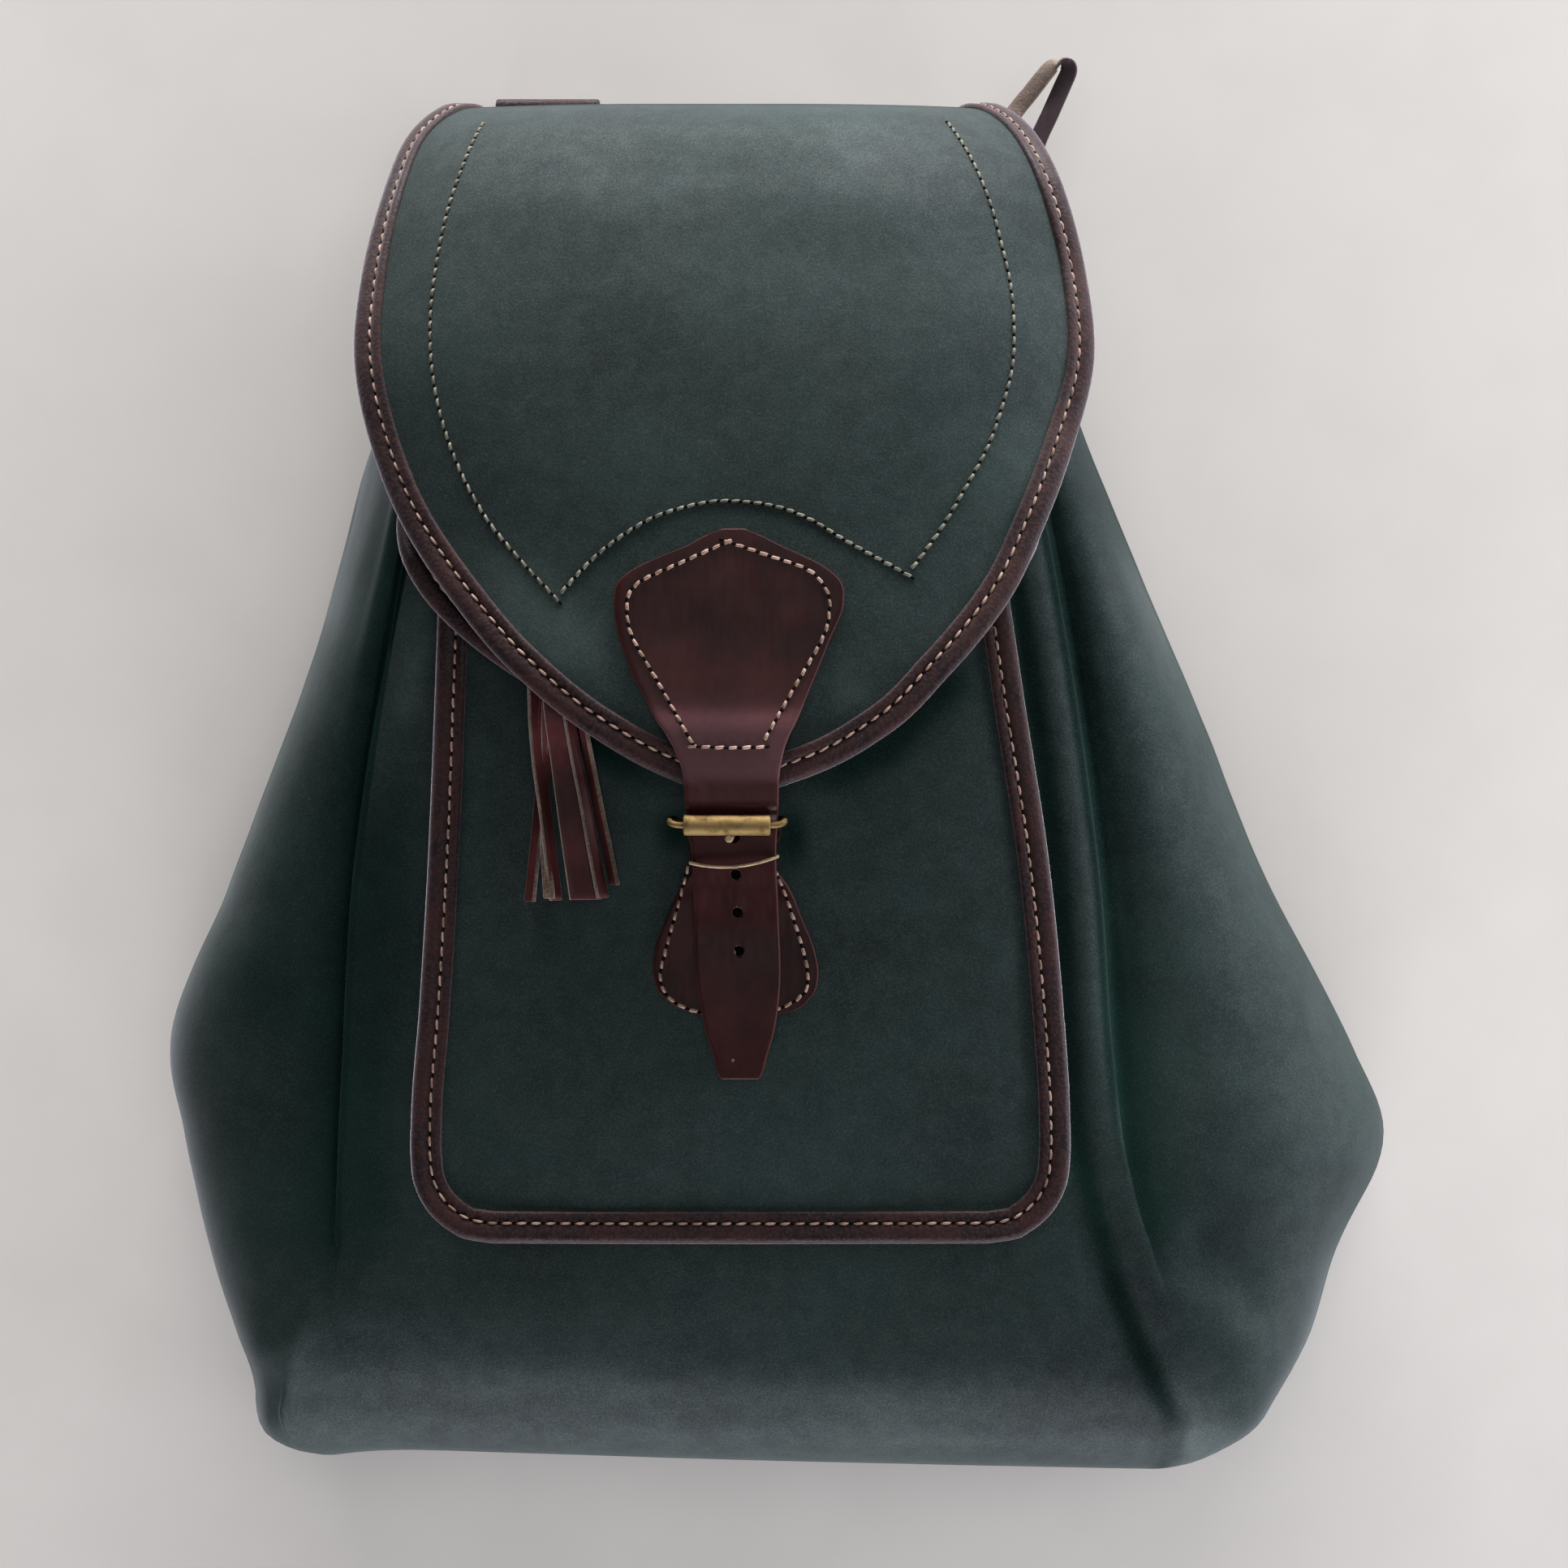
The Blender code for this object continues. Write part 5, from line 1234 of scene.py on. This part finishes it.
# The upper patch and the strap that runs on from it, one piece with four holes
strap = {"wall": 2.2, "edge": 0.7, "stepY": 8.0, "stepLength": 8.0, "leavesY": -16.8,
         "leavesLength": 5.0, "holeRadius": 1.4, "holes": (-21.2, -31.5, -42.3, -53.1),
         "overFlap": 0.4, "overBinding": 1.95, "holeShift": 0.3, "columns": 33, "rows": 150,
         # the dish worn into the patch
         "dish": 1.1, "dishY": 32.0, "dishLength": 16.0,
         # creases at the flap's edge (y, depth), and where the strap is painted paler as painted
         # haze
         "creases": ((2.2, 0.12), (-1.2, 0.1)), "creaseWidth": 0.7,
         "paintedHazeTop": 26.0, "paintedHazeLength": 26.0, "paintedHazeEnd": -8.5, "paintedHazeFade": 6.0,
         # marks rubbed to the flesh: place, half width and height, turn in degrees
         "scuffs": ((-13.0, -53.4, 0.75, 0.3, -70.0), (-13.5, -83.9, 0.75, 0.5, 60.0))}
strapTable = makeTable(("y", "left", "right"), (
    (-89.7, -15.8, -7.2), (-88.9, -17.2, -5.8), (-87.4, -17.9, -5.0), (-84.0, -18.7, -4.1),
    (-76.0, -21.2, -1.8),
    (-68.5, -22.6, -0.6), (-64.0, -23.4, -0.2), (-42.0, -24.4, -0.6), (-26.0, -25.0, -1.2),
    (-14.0, -26.4, -0.6), (-2.0, -27.6, 0.0), (3.0, -29.5, 1.0), (15.0, -36.5, 6.0),
    (33.0, -44.6, 13.4), (45.0, -46.4, 17.7), (50.0, -45.2, 16.8), (54.0, -40.0, 12.4),
    (60.0, -26.0, 0.0), (63.6, -19.0, -7.5), (65.0, -14.6, -11.4),
))
strapLift = makeTable(("y", "lift"), (
    (-90.0, 1.2), (-74.0, 2.6), (-60.0, 3.0), (-44.0, 3.1), (-36.0, 5.2), (-29.0, 7.3),
    (-23.0, 8.4), (-17.0, 8.9), (-10.0, 10.4),
))


def strapUnderside(x, y):
    onBinding = 1 - eased((y - strap["stepY"]) / strap["stepLength"])
    onFlap = flapHeight(x, np.maximum(y, flapFront[-1])) + strap["overFlap"]
    onFlap = onFlap + strap["overBinding"] * onBinding
    below = pocketPlain(x, y) + read(strapLift, "lift", y)
    return below + (onFlap - below) * eased((y - strap["leavesY"]) / strap["leavesLength"])


def strapHeight(x, y):
    creases = sum(-depth * nearPlace(y - place, strap["creaseWidth"])
                  for place, depth in strap["creases"])
    dish = -strap["dish"] * nearPlace(y - strap["dishY"], strap["dishLength"])
    return strapUnderside(x, y) + strap["wall"] + creases + dish + 0.12 * waves(x, y, 24.0, 15)


def strapMiddle(y):
    return across(*sidesOf(strapTable, y), 0.0)


def inset(table, amount):
    rows = {"keys": table["keys"], "y": table["y"]}
    for name, way in (("left", 1.0), ("right", -1.0)):
        values, slopes = table[name]
        rows[name] = (values + way * amount, slopes)
    return rows


ys = np.linspace(strapTable["keys"][-1], strapTable["keys"][0], strap["rows"])
ys[[0, -1]] += -strap["edge"], strap["edge"]
strapGrid = leafGrid(inset(strapTable, strap["edge"]), ys, strap["columns"], strapHeight)
flapStrap = slab("flapStrap", strapGrid, strap["wall"], strap["edge"], [strapLeather])
cutters = []
for y in strap["holes"]:
    x = float(strapMiddle(y)) + strap["holeShift"]
    z = float(strapHeight(x, y)) - strap["wall"] / 2
    rings = [circleAt(x, y, z + h, strap["holeRadius"], 24) for h in (-4.0, 4.0)]
    cutters.append(loft("cutter", rings, [strapLeather]))
holes = joinPieces("strapHoles", cutters)
cut = flapStrap.modifiers.new("holes", "BOOLEAN")
cut.operation = "DIFFERENCE"
cut.solver = "EXACT"
cut.object = holes
result = bpy.data.meshes.new_from_object(
    flapStrap.evaluated_get(bpy.context.evaluated_depsgraph_get()))
flapStrap.modifiers.clear()
flapStrap.data = result
bpy.data.objects.remove(holes)
# Painted haze: it is painted paler at the neck, where it bends over the flap's edge
cornersY = np.array([corner.co.y for corner in flapStrap.data.vertices]) / mm
addValues(flapStrap, "paintedHaze", eased((strap["paintedHazeTop"] - cornersY) / strap["paintedHazeLength"])
          * eased((cornersY - strap["paintedHazeEnd"]) / strap["paintedHazeFade"]))
finishPiece(flapStrap, "smooth_leather", "flap_strap")
upperSeam = ((-14.7, 60.9), (-27.0, 55.4), (-39.2, 49.7), (-42.0, 46.6), (-42.6, 43.4),
             (-42.5, 39.6), (-41.6, 35.5), (-33.2, 20.5), (-25.0, 5.9), (-24.4, 4.1), (-14.6, 3.7),
             (-5.6, 3.9), (3.4, 19.8), (12.2, 35.5), (13.4, 40.7), (13.4, 45.4), (11.4, 49.6),
             (7.8, 53.0), (-3.2, 57.0), (-14.7, 60.9))
seams = [laidOn(strapHeight, upperSeam[a:b], 0.05)
         for a, b in ((0, 9), (9, 12), (11, 20))]
seams[2] = trimmed(seams[2], patchStitch["pitch"])
sewn("upperPatchStitches", seams, patchStitch, tanThread, "smooth_leather", 8)


# The lower patch, whose top folds round the buckle's lower bar and back under itself
patch = {"wall": 2.0, "edge": 0.6, "heelY": -22.6, "heelLift": 4.1, "roundLength": 6.0,
         "columns": 33, "foldedTo": (-24.3, -26.0, -28.0, -30.5)}
patchTable = makeTable(("y", "left", "right"), (
    (-72.5, -18.0, -4.5), (-70.5, -26.0, 3.0), (-66.5, -33.0, 8.5), (-61.0, -35.8, 10.6),
    (-54.0, -35.6, 9.8), (-44.0, -32.2, 6.0), (-34.5, -27.4, 1.6), (-30.5, -24.4, -1.6),
    (-18.0, -24.2, -1.8),
))
patchLift = makeTable(("y", "lift"), (
    (-73.0, 2.4), (-46.0, 2.4), (-38.0, 2.6), (-33.0, 4.3), (-29.0, 6.5), (-26.0, 7.5),
    (-22.6, 7.9),
))


def patchHeight(x, y):
    return pocketPlain(x, y) + read(patchLift, "lift", y)


low = patchTable["keys"][0] + patch["edge"]
ys = np.concatenate([low + patch["roundLength"] * np.linspace(0, 1, 12)[:-1] ** 1.5,
                     np.linspace(low + patch["roundLength"], patch["heelY"], 44)])
patchGrid = leafGrid(inset(patchTable, patch["edge"]), ys[::-1], patch["columns"], patchHeight)
heelX = float(strapMiddle(patch["heelY"]))
heelZ = float(pocketPlain(heelX, patch["heelY"])) + patch["heelLift"]
turnRadius = float(read(patchLift, "lift", patch["heelY"])) - patch["heelLift"]
topRow = patchGrid[0]
folds = [(patch["heelY"] + turnRadius * math.sin(turn), heelZ + turnRadius * math.cos(turn))
         for turn in np.radians(np.linspace(0, 180, 19)[1:])]
folds += [(y, heelZ - turnRadius) for y in patch["foldedTo"]]
folded = [topRow * (1.0, 0.0, 0.0) + (0.0, y, z) for y, z in folds]
patchGrid = np.concatenate([np.array(folded)[::-1], patchGrid])
bucklePatch = slab("bucklePatch", patchGrid, patch["wall"], patch["edge"], [strapLeather])
finishPiece(bucklePatch, "smooth_leather", "buckle_patch")
lowerSeams = (
    ((-26.2, -30.5), (-28.8, -39.9), (-32.3, -52.7), (-33.9, -60.0), (-33.2, -63.8),
     (-29.9, -67.7), (-21.8, -70.8), (-14.0, -71.0)),
    ((-1.4, -31.0), (1.2, -37.4), (3.9, -45.4), (6.6, -54.5), (7.6, -60.3), (6.9, -64.6),
     (3.4, -67.6), (-0.6, -69.6), (-8.0, -71.0)),
)
# Painted shade at the bottom of the strap's holes, then a pale raw-leather mark at the last
# of them and a scuff near the tip
paintedHoleShades = []
for y in strap["holes"]:
    x = float(strapMiddle(y)) + strap["holeShift"]
    z = float(patchHeight(x, y)) + 0.2
    paintedHoleShades.append(loft("paintedHoleShades", [circleAt(x, y, z + rise, radius, 16) for radius, rise in (
        (0.3, 0.1), (1.2, 0.0), (1.9, 0.0))], [needleHole]))
finishPiece(joinPieces("strapHolePaintedShade", paintedHoleShades), "smooth_leather")
scuffs = []
for x, y, wide, high, turn in strap["scuffs"]:
    turn = math.radians(turn)
    angles = ringAngles(12)
    along, aside = wide * np.cos(angles), high * np.sin(angles)
    spots = []
    for r in (0.1, 0.6, 1.0):
        u = x + r * (along * math.cos(turn) - aside * math.sin(turn))
        v = y + r * (along * math.sin(turn) + aside * math.cos(turn))
        spots.append(np.stack([u, v, strapHeight(u, v) + 0.09 - 0.14 * r * r], axis=1))
    scuffs.append(loft("scuff", spots, [rawEdge]))
finishPiece(joinPieces("strapScuffs", scuffs), "smooth_leather")
sewn("lowerPatchStitches", [laidOn(patchHeight, line, 0.05) for line in lowerSeams],
     patchStitch, tanThread, "smooth_leather", 9)
print("strap and patches made")


# The buckle: wire frame, roller, prong and keeper
buckle = {
    "shift": -1.5, "rollerY": -17.7, "rollerRadius": 2.9, "rollerBore": 1.25,
    "rollerLength": 24.1, "wire": 0.9,
    # right half of the frame: how far out, up the bag and down from the roller's bar, then the
    # same from the lower bar in the patch's fold
    "frameTop": ((12.5, 0.0, 0.0), (14.3, 0.15, -0.1), (15.5, 0.6, -0.6), (16.0, 1.3, -1.8),
                 (15.6, 1.6, -3.6), (14.2, 1.4, -6.2)),
    "frameLow": ((12.5, 2.2, 1.2), (11.9, 0.5, 0.1), (8.0, 0.0, 0.0)),
    "wireSides": 14, "prongWire": 1.0, "prongClear": 0.35, "prongTip": (0.5, -0.75, 0.7),
    "prongEnd": (1.2, 1.3, 0.8), "keeperWire": 0.45, "keeperY": -27.4, "keeperBow": 1.9,
    "keeperLean": 0.9, "keeperDown": 0.9, "keeperOver": 0.5, "keeperBeside": 0.35, "gap": 0.4,
    # the roller's seam: its place round the roller and half its width in degrees, and its depth
    "seamAt": 20.0, "seamHalf": 1.9, "seamDepth": 0.07,
}
rollerX = float(strapMiddle(buckle["rollerY"])) + buckle["shift"]
rollerZ = (float(strapUnderside(strapMiddle(buckle["rollerY"]), buckle["rollerY"]))
           + strap["wall"] + buckle["rollerRadius"] + buckle["gap"])
top = np.array([rollerX, buckle["rollerY"], rollerZ])
heel = np.array([heelX, patch["heelY"], heelZ])
half, mirror = ([top + (way * out, up, down) for out, up, down in buckle["frameTop"]]
                + [heel + (way * out, up, down) for out, up, down in buckle["frameLow"]]
                for way in (1.0, -1.0))
loop = curveThrough(half + mirror[::-1] + half[:1], 5)[:-1]


def wireRings(path, radius, closed=False):
    path = np.asarray(path, float)
    ahead = np.roll(path, -1, axis=0) - np.roll(path, 1, axis=0)
    if not closed:
        ahead[0], ahead[-1] = path[1] - path[0], path[-1] - path[-2]
    along = unit(ahead)
    side = unit(np.cross(along[0], (0.31, 0.2, 0.93)))
    angles = ringAngles(buckle["wireSides"])
    radius = np.broadcast_to(radius, len(path))
    rings = []
    for point, run, wide in zip(path, along, radius):
        side = unit(side - run * (side @ run))
        up = np.cross(run, side)
        rings.append(point + wide * (np.cos(angles)[:, None] * side
                                     + np.sin(angles)[:, None] * up))
    return np.array(rings)


buckleFrame = loft("buckleFrame", wireRings(loop, buckle["wire"], closed=True),
                   [brass, paintedShadeBrass], closed=True)
# Painted shade: the frame's faces more than 1 mm below the roller's bar take the near-black brass
for face in buckleFrame.data.polygons:
    face.material_index = int(face.center.z < (top[2] - 1.0) * mm)
finishPiece(buckleFrame, "brass", "buckle_frame")

# The roller is rolled sheet: its seam shows as a fine line along it, and its ends are turned in
length, radius, bore = (buckle[name] for name in ("rollerLength", "rollerRadius", "rollerBore"))
profile = [(radius - less, a) for less, a in
           ((1.2, 0.25), (0.6, 0.0), (0.25, 0.05), (0.04, 0.3), (0.0, 0.7), (0.0, 1.4))]
outer = (profile + [(radius, length * share) for share in (0.2, 0.4, 0.6, 0.8)]
         + [(r, length - a) for r, a in reversed(profile)] + [(bore, length - 0.3), (bore, 0.3)])
seamAt = math.radians(buckle["seamAt"])
rings = []
seamRings = seamAt + np.radians([-3.5, -1.2, 1.2, 3.5])
for angle in np.sort(np.concatenate([ringAngles(40), seamRings])):
    inSeam = abs(angle - seamAt) < math.radians(buckle["seamHalf"])
    groove = buckle["seamDepth"] if inSeam else 0.0
    rings.append([top + (a - length / 2, (r - groove * (r > 2.5)) * math.cos(angle),
                         (r - groove * (r > 2.5)) * math.sin(angle)) for r, a in outer])
buckleRoller = loft("buckleRoller", rings, [brass], closed=True)
finishPiece(buckleRoller, "brass", "buckle_roller")

reach = buckle["wire"] + buckle["prongClear"] + buckle["prongWire"]
prong = [heel + (0.0, reach * math.cos(math.radians(d)), -reach * math.sin(math.radians(d)))
         for d in range(250, -1, -10)]
tip = top + (0.0, -radius, 0.0) + buckle["prongTip"]
prong += [prong[-1] + (tip - prong[-1]) * share for share in (0.2, 0.4, 0.6, 0.8, 0.93, 1.0)]
thick = np.full(len(prong), buckle["prongWire"])
thick[-3:] = buckle["prongEnd"]
bucklePin = loft("bucklePin", wireRings(prong, thick), [rubbedBrass])
finishPiece(bucklePin, "brass", "buckle_prong")

keeperX = float(strapMiddle(buckle["keeperY"]))
half = float(read(strapTable, "right", buckle["keeperY"])) - keeperX + buckle["keeperBeside"]
low = (float(pocketPlain(keeperX, buckle["keeperY"])) + patch["wall"] + buckle["keeperWire"]
       + 2 * buckle["gap"])
high = (float(strapHeight(keeperX, buckle["keeperY"] - 2.0)) + buckle["keeperOver"]
        + 2 * buckle["keeperWire"])
# Round the strap: across it in a bow, down its right edge, back under it and up its left edge
turns = [(side, 1 - buckle["keeperDown"] * abs(side) ** 5 / (high - low),
          buckle["keeperBow"] * (1 - side * side)) for side in np.linspace(-1.0, 1.0, 25)]
turns += [(1.0, 0.7, 0.0), (1.0, 0.4, 0.0), (0.97, 0.1, 0.0)]
turns += [(side, 0.0, 0.0) for side in np.linspace(0.9, -0.9, 13)]
turns += [(-0.97, 0.1, 0.0), (-1.0, 0.4, 0.0), (-1.0, 0.7, 0.0)]
band = [(keeperX + half * side, buckle["keeperY"] + buckle["keeperLean"] * side - bow,
         low + (high - low) * share) for side, share, bow in turns]
strapKeeper = loft("strapKeeper", wireRings(band, buckle["keeperWire"], closed=True),
                   [rubbedBrass], closed=True)
finishPiece(strapKeeper, "brass", "strap_keeper")
print("buckle made")


# The tassel: strips cut from one hanger, some lying flat and some turned on edge, so that
# their raw tan edges show as light lines
tassel = {"wall": 1.5, "edge": 0.25, "hangerTop": 58.0, "hangerEnd": 21.5, "rootY": 19.0,
          "leavesY": 13.0, "leavesLength": 16.0, "clear": 0.6, "overBinding": 1.55}
hangerTable = makeTable(("y", "x", "half"), (
    (12.0, -65.0, 6.0), (17.0, -65.0, 6.0), (26.0, -63.5, 5.0), (40.0, -58.0, 3.5),
    (58.0, -52.0, 3.5),
))
# Each strip: its middle line across the bag, width at both ends, turn in degrees at both
# ends (positive raises its left edge), height above the pocket and how its end curls up
strips = (
    (((-66.4, 24.0), (-67.0, 5.0), (-68.2, -8.0), (-69.6, -22.0), (-71.4, -39.3)),
     (2.6, 3.0), (-20, -38), 0.8, 0.0),
    (((-65.6, 24.0), (-66.0, 0.0), (-66.3, -14.0), (-65.9, -26.0), (-65.0, -38.3)),
     (2.2, 2.8), (0, 172), 1.3, 1.6),
    (((-69.0, 24.0), (-68.0, 1.0), (-66.2, -12.0), (-64.6, -25.0), (-62.9, -38.8)),
     (3.4, 3.4), (42, 40), 2.9, 0.0),
    (((-64.4, 24.0), (-61.5, 1.0), (-59.4, -12.0), (-57.2, -25.0), (-54.8, -38.6)),
     (5.6, 8.6), (12, 14), 2.2, 0.4),
    (((-60.6, 24.0), (-57.2, 1.0), (-54.7, -11.0), (-52.2, -25.0), (-49.6, -38.0)),
     (2.8, 3.4), (40, 44), 2.6, 0.0),
    (((-58.0, 23.0), (-54.6, 1.0), (-51.9, -13.0), (-49.4, -25.0), (-47.4, -34.6)),
     (2.6, 3.0), (-52, -48), 0.9, 0.8),
)


def tasselBed(x, y):
    overBinding = 1 - eased((y - 37.0) / 8.0)
    return lidHeight(x, y) + tassel["overBinding"] * overBinding + tassel["clear"]


def tasselPart(name, rows, axis):
    # Grain leather on the face, raw cut leather on the edges and underneath
    return slab(name, np.stack(rows, axis=axis), tassel["wall"], tassel["edge"],
                [tasselLeather, rawEdge], finishOf=lambda j: 0 if 0 <= j < 8 else 1)


rows = []
for y in np.linspace(tassel["hangerTop"], tassel["hangerEnd"], 26):
    x, half = float(read(hangerTable, "x", y)), float(read(hangerTable, "half", y))
    line = np.array([(x + half * s, y, 0.0) for s in np.linspace(-1.0, 1.0, 9)])
    line[:, 2] = tasselBed(line[:, 0], line[:, 1]) + tassel["wall"]
    rows.append(line)
parts = [tasselPart("tasselHanger", rows, 0)]
for number, (route, widths, turns, lift, curl) in enumerate(strips):
    line = curveThrough(route, 10)
    share = np.linspace(0.0, 1.0, len(line))
    start = tasselBed(line[:, 0], np.full(len(line), tassel["rootY"])) + tassel["clear"]
    rest = pocketPlain(line[:, 0], line[:, 1]) + tassel["wall"] + lift
    z = start + (rest - start) * eased((tassel["leavesY"] - line[:, 1]) / tassel["leavesLength"])
    z = z + curl * eased((share - 0.75) / 0.25)
    z = z + 0.15 * waves(share * 50, share * 0 + number, 20.0, 40)
    turn = np.radians(turns[0] + (turns[1] - turns[0]) * eased(share))
    half = (widths[0] + (widths[1] - widths[0]) * share) / 2
    rows = []
    for s in np.linspace(-1.0, 1.0, 9):
        rows.append(np.stack([line[:, 0] + half * s * np.cos(turn), line[:, 1],
                              z - half * s * np.sin(turn)], axis=1))
    parts.append(tasselPart(f"tasselStrip{number}", rows, 1))
leatherTassel = joinPieces("leatherTassel", parts)
finishPiece(leatherTassel, "smooth_leather", "tassel")
print("tassel made")


# The shoulder straps, flat under the bag, with a row of stitches along both edges
shoulder = {"wall": 3.0, "edge": 1.0, "half": 17.0, "endY": -182.0, "laidZ": 1.5, "rise": 3.3,
            "reach": 211.2,
            "straps": (("shoulderStrapLeft", "shoulder_strap_left", -75.5, -116.0, 213.9),
                       ("shoulderStrapRight", "shoulder_strap_right", 38.0, 108.0, 196.0))}
shoulderTable = makeTable(("along", "y", "z"), (
    (0.0, 150.0, 4.8), (30.0, 180.0, 4.8), (50.0, 200.0, 4.9), (58.0, 208.0, 4.9),
    (62.0, 211.2, 3.9), (64.0, 211.0, 2.4), (68.0, 207.0, 1.5), (80.0, 195.0, 1.5),
))
shoulderStitch = dict(bindingStitch, rise=0.22)
for name, node, topX, endX, reachY in shoulder["straps"]:
    line = []
    for along in np.concatenate([np.linspace(0, 54, 28), np.linspace(55, 70, 31),
                                 np.linspace(71, 80, 6)]):
        short = (shoulder["reach"] - reachY) * eased(along / 60.0)
        line.append((topX, read(shoulderTable, "y", along) - short,
                     read(shoulderTable, "z", along)))
    startY = line[-1][1]
    for share in np.linspace(0.0, 1.0, 90)[1:]:
        line.append((topX + (endX - topX) * share, startY + (shoulder["endY"] - startY) * share,
                     shoulder["laidZ"] + shoulder["rise"] * eased((share - 0.9) / 0.1)))
    line = np.array(line, float)
    run = unit(np.gradient(line[:, 1:], axis=0))
    face = np.stack([np.zeros(len(line)), -run[:, 1], run[:, 0]], axis=1)
    half = shoulder["half"] - shoulder["edge"]
    grid = np.stack([line + face * shoulder["wall"] / 2 + (s, 0.0, 0.0)
                     for s in np.linspace(-half, half, 17)], axis=1)[::-1]
    piece = slab(name, grid, shoulder["wall"], shoulder["edge"], [grained])
    finishPiece(piece, "smooth_leather", node)
    normals = normalsOf(grid)
    sewn(name + "Stitches",
         [(grid[3:86, c] + normals[3:86, c] * 0.02, normals[3:86, c]) for c in (1, -2)],
         shoulderStitch, tanThread, "smooth_leather", 10)
print("shoulder straps made")


# A plain pale floor with wide, low lights all round, as from the windows of a room, and a
# little light from above. The strongest stands beyond the bag's top, the next to its right.
studio = {
    "floorColour": "#c9c4c0", "floorShade": "#beb9b5", "floorReach": 4000,
    "worldColour": "#e4e8ee",
    "worldStrength": 0.04,
    "aim": (0.0, 0.0, 50.0),
    # name, width and height, distance, side in degrees from the right, height in degrees,
    # power in watts, colour
    "lights": (
        ("topLight", (3200, 500), 3200, 90, 7, 356.0, "#ffffff"),
        ("cornerLight", (3200, 500), 3200, 45, 12, 59.0, "#fafcff"),
        ("rightLight", (3200, 500), 3200, 0, 7, 116.0, "#f2f6ff"),
        ("bottomLight", (3200, 500), 3200, 270, 7, 117.0, "#f6f8ff"),
        ("bottomHighLight", (3200, 500), 3200, 270, 16, 76.0, "#f6f8ff"),
        ("overheadLight", (1500, 1500), 2200, 70, 82, 17.6, "#ffffff"),
    ),
}
for name, size, far, side, rise, watts, colour in studio["lights"]:
    data = bpy.data.lights.new(name, "AREA")
    data.shape = "RECTANGLE"
    data.size, data.size_y = size[0] * mm, size[1] * mm
    data.energy = watts
    data.color = linear(colour)[:3]
    lamp = bpy.data.objects.new(name, data)
    scene.collection.objects.link(lamp)
    side, rise = math.radians(side), math.radians(rise)
    back = np.array((math.cos(side) * math.cos(rise), math.sin(side) * math.cos(rise),
                     math.sin(rise)))
    along = unit(np.cross((0.0, 0.0, 1.0), back))
    turned = np.eye(4)
    turned[:3, 0], turned[:3, 1], turned[:3, 2] = along, np.cross(back, along), back
    turned[:3, 3] = (np.array(studio["aim"]) + back * far) * mm
    lamp.matrix_world = Matrix(turned.tolist())
world = bpy.data.worlds.new("paleRoom")
world.use_nodes = True
fedWith(world.node_tree, world.node_tree.nodes["Background"],
        {"Color": linear(studio["worldColour"]), "Strength": studio["worldStrength"]})
scene.world = world
# The floor is matt painted board, a little uneven in its tone
floorFinish, tree, shader, place = newMaterial("paleFloor", Roughness=0.9)
tone = spread(tree, noise(tree, place, 40.0, 4.0), 0.35, 0.7, 0.0, 0.25)
fedWith(tree, shader, {
    "Base Color": coloured(tree, tone, studio["floorColour"], studio["floorShade"])})
reach = studio["floorReach"]
floor = makeMesh("floor", [(x, y, 0) for x, y in (
    (-reach, -reach), (reach, -reach), (reach, reach), (-reach, reach))],
                 [(0, 1, 2, 3)], [floorFinish])
print("floor and light made")
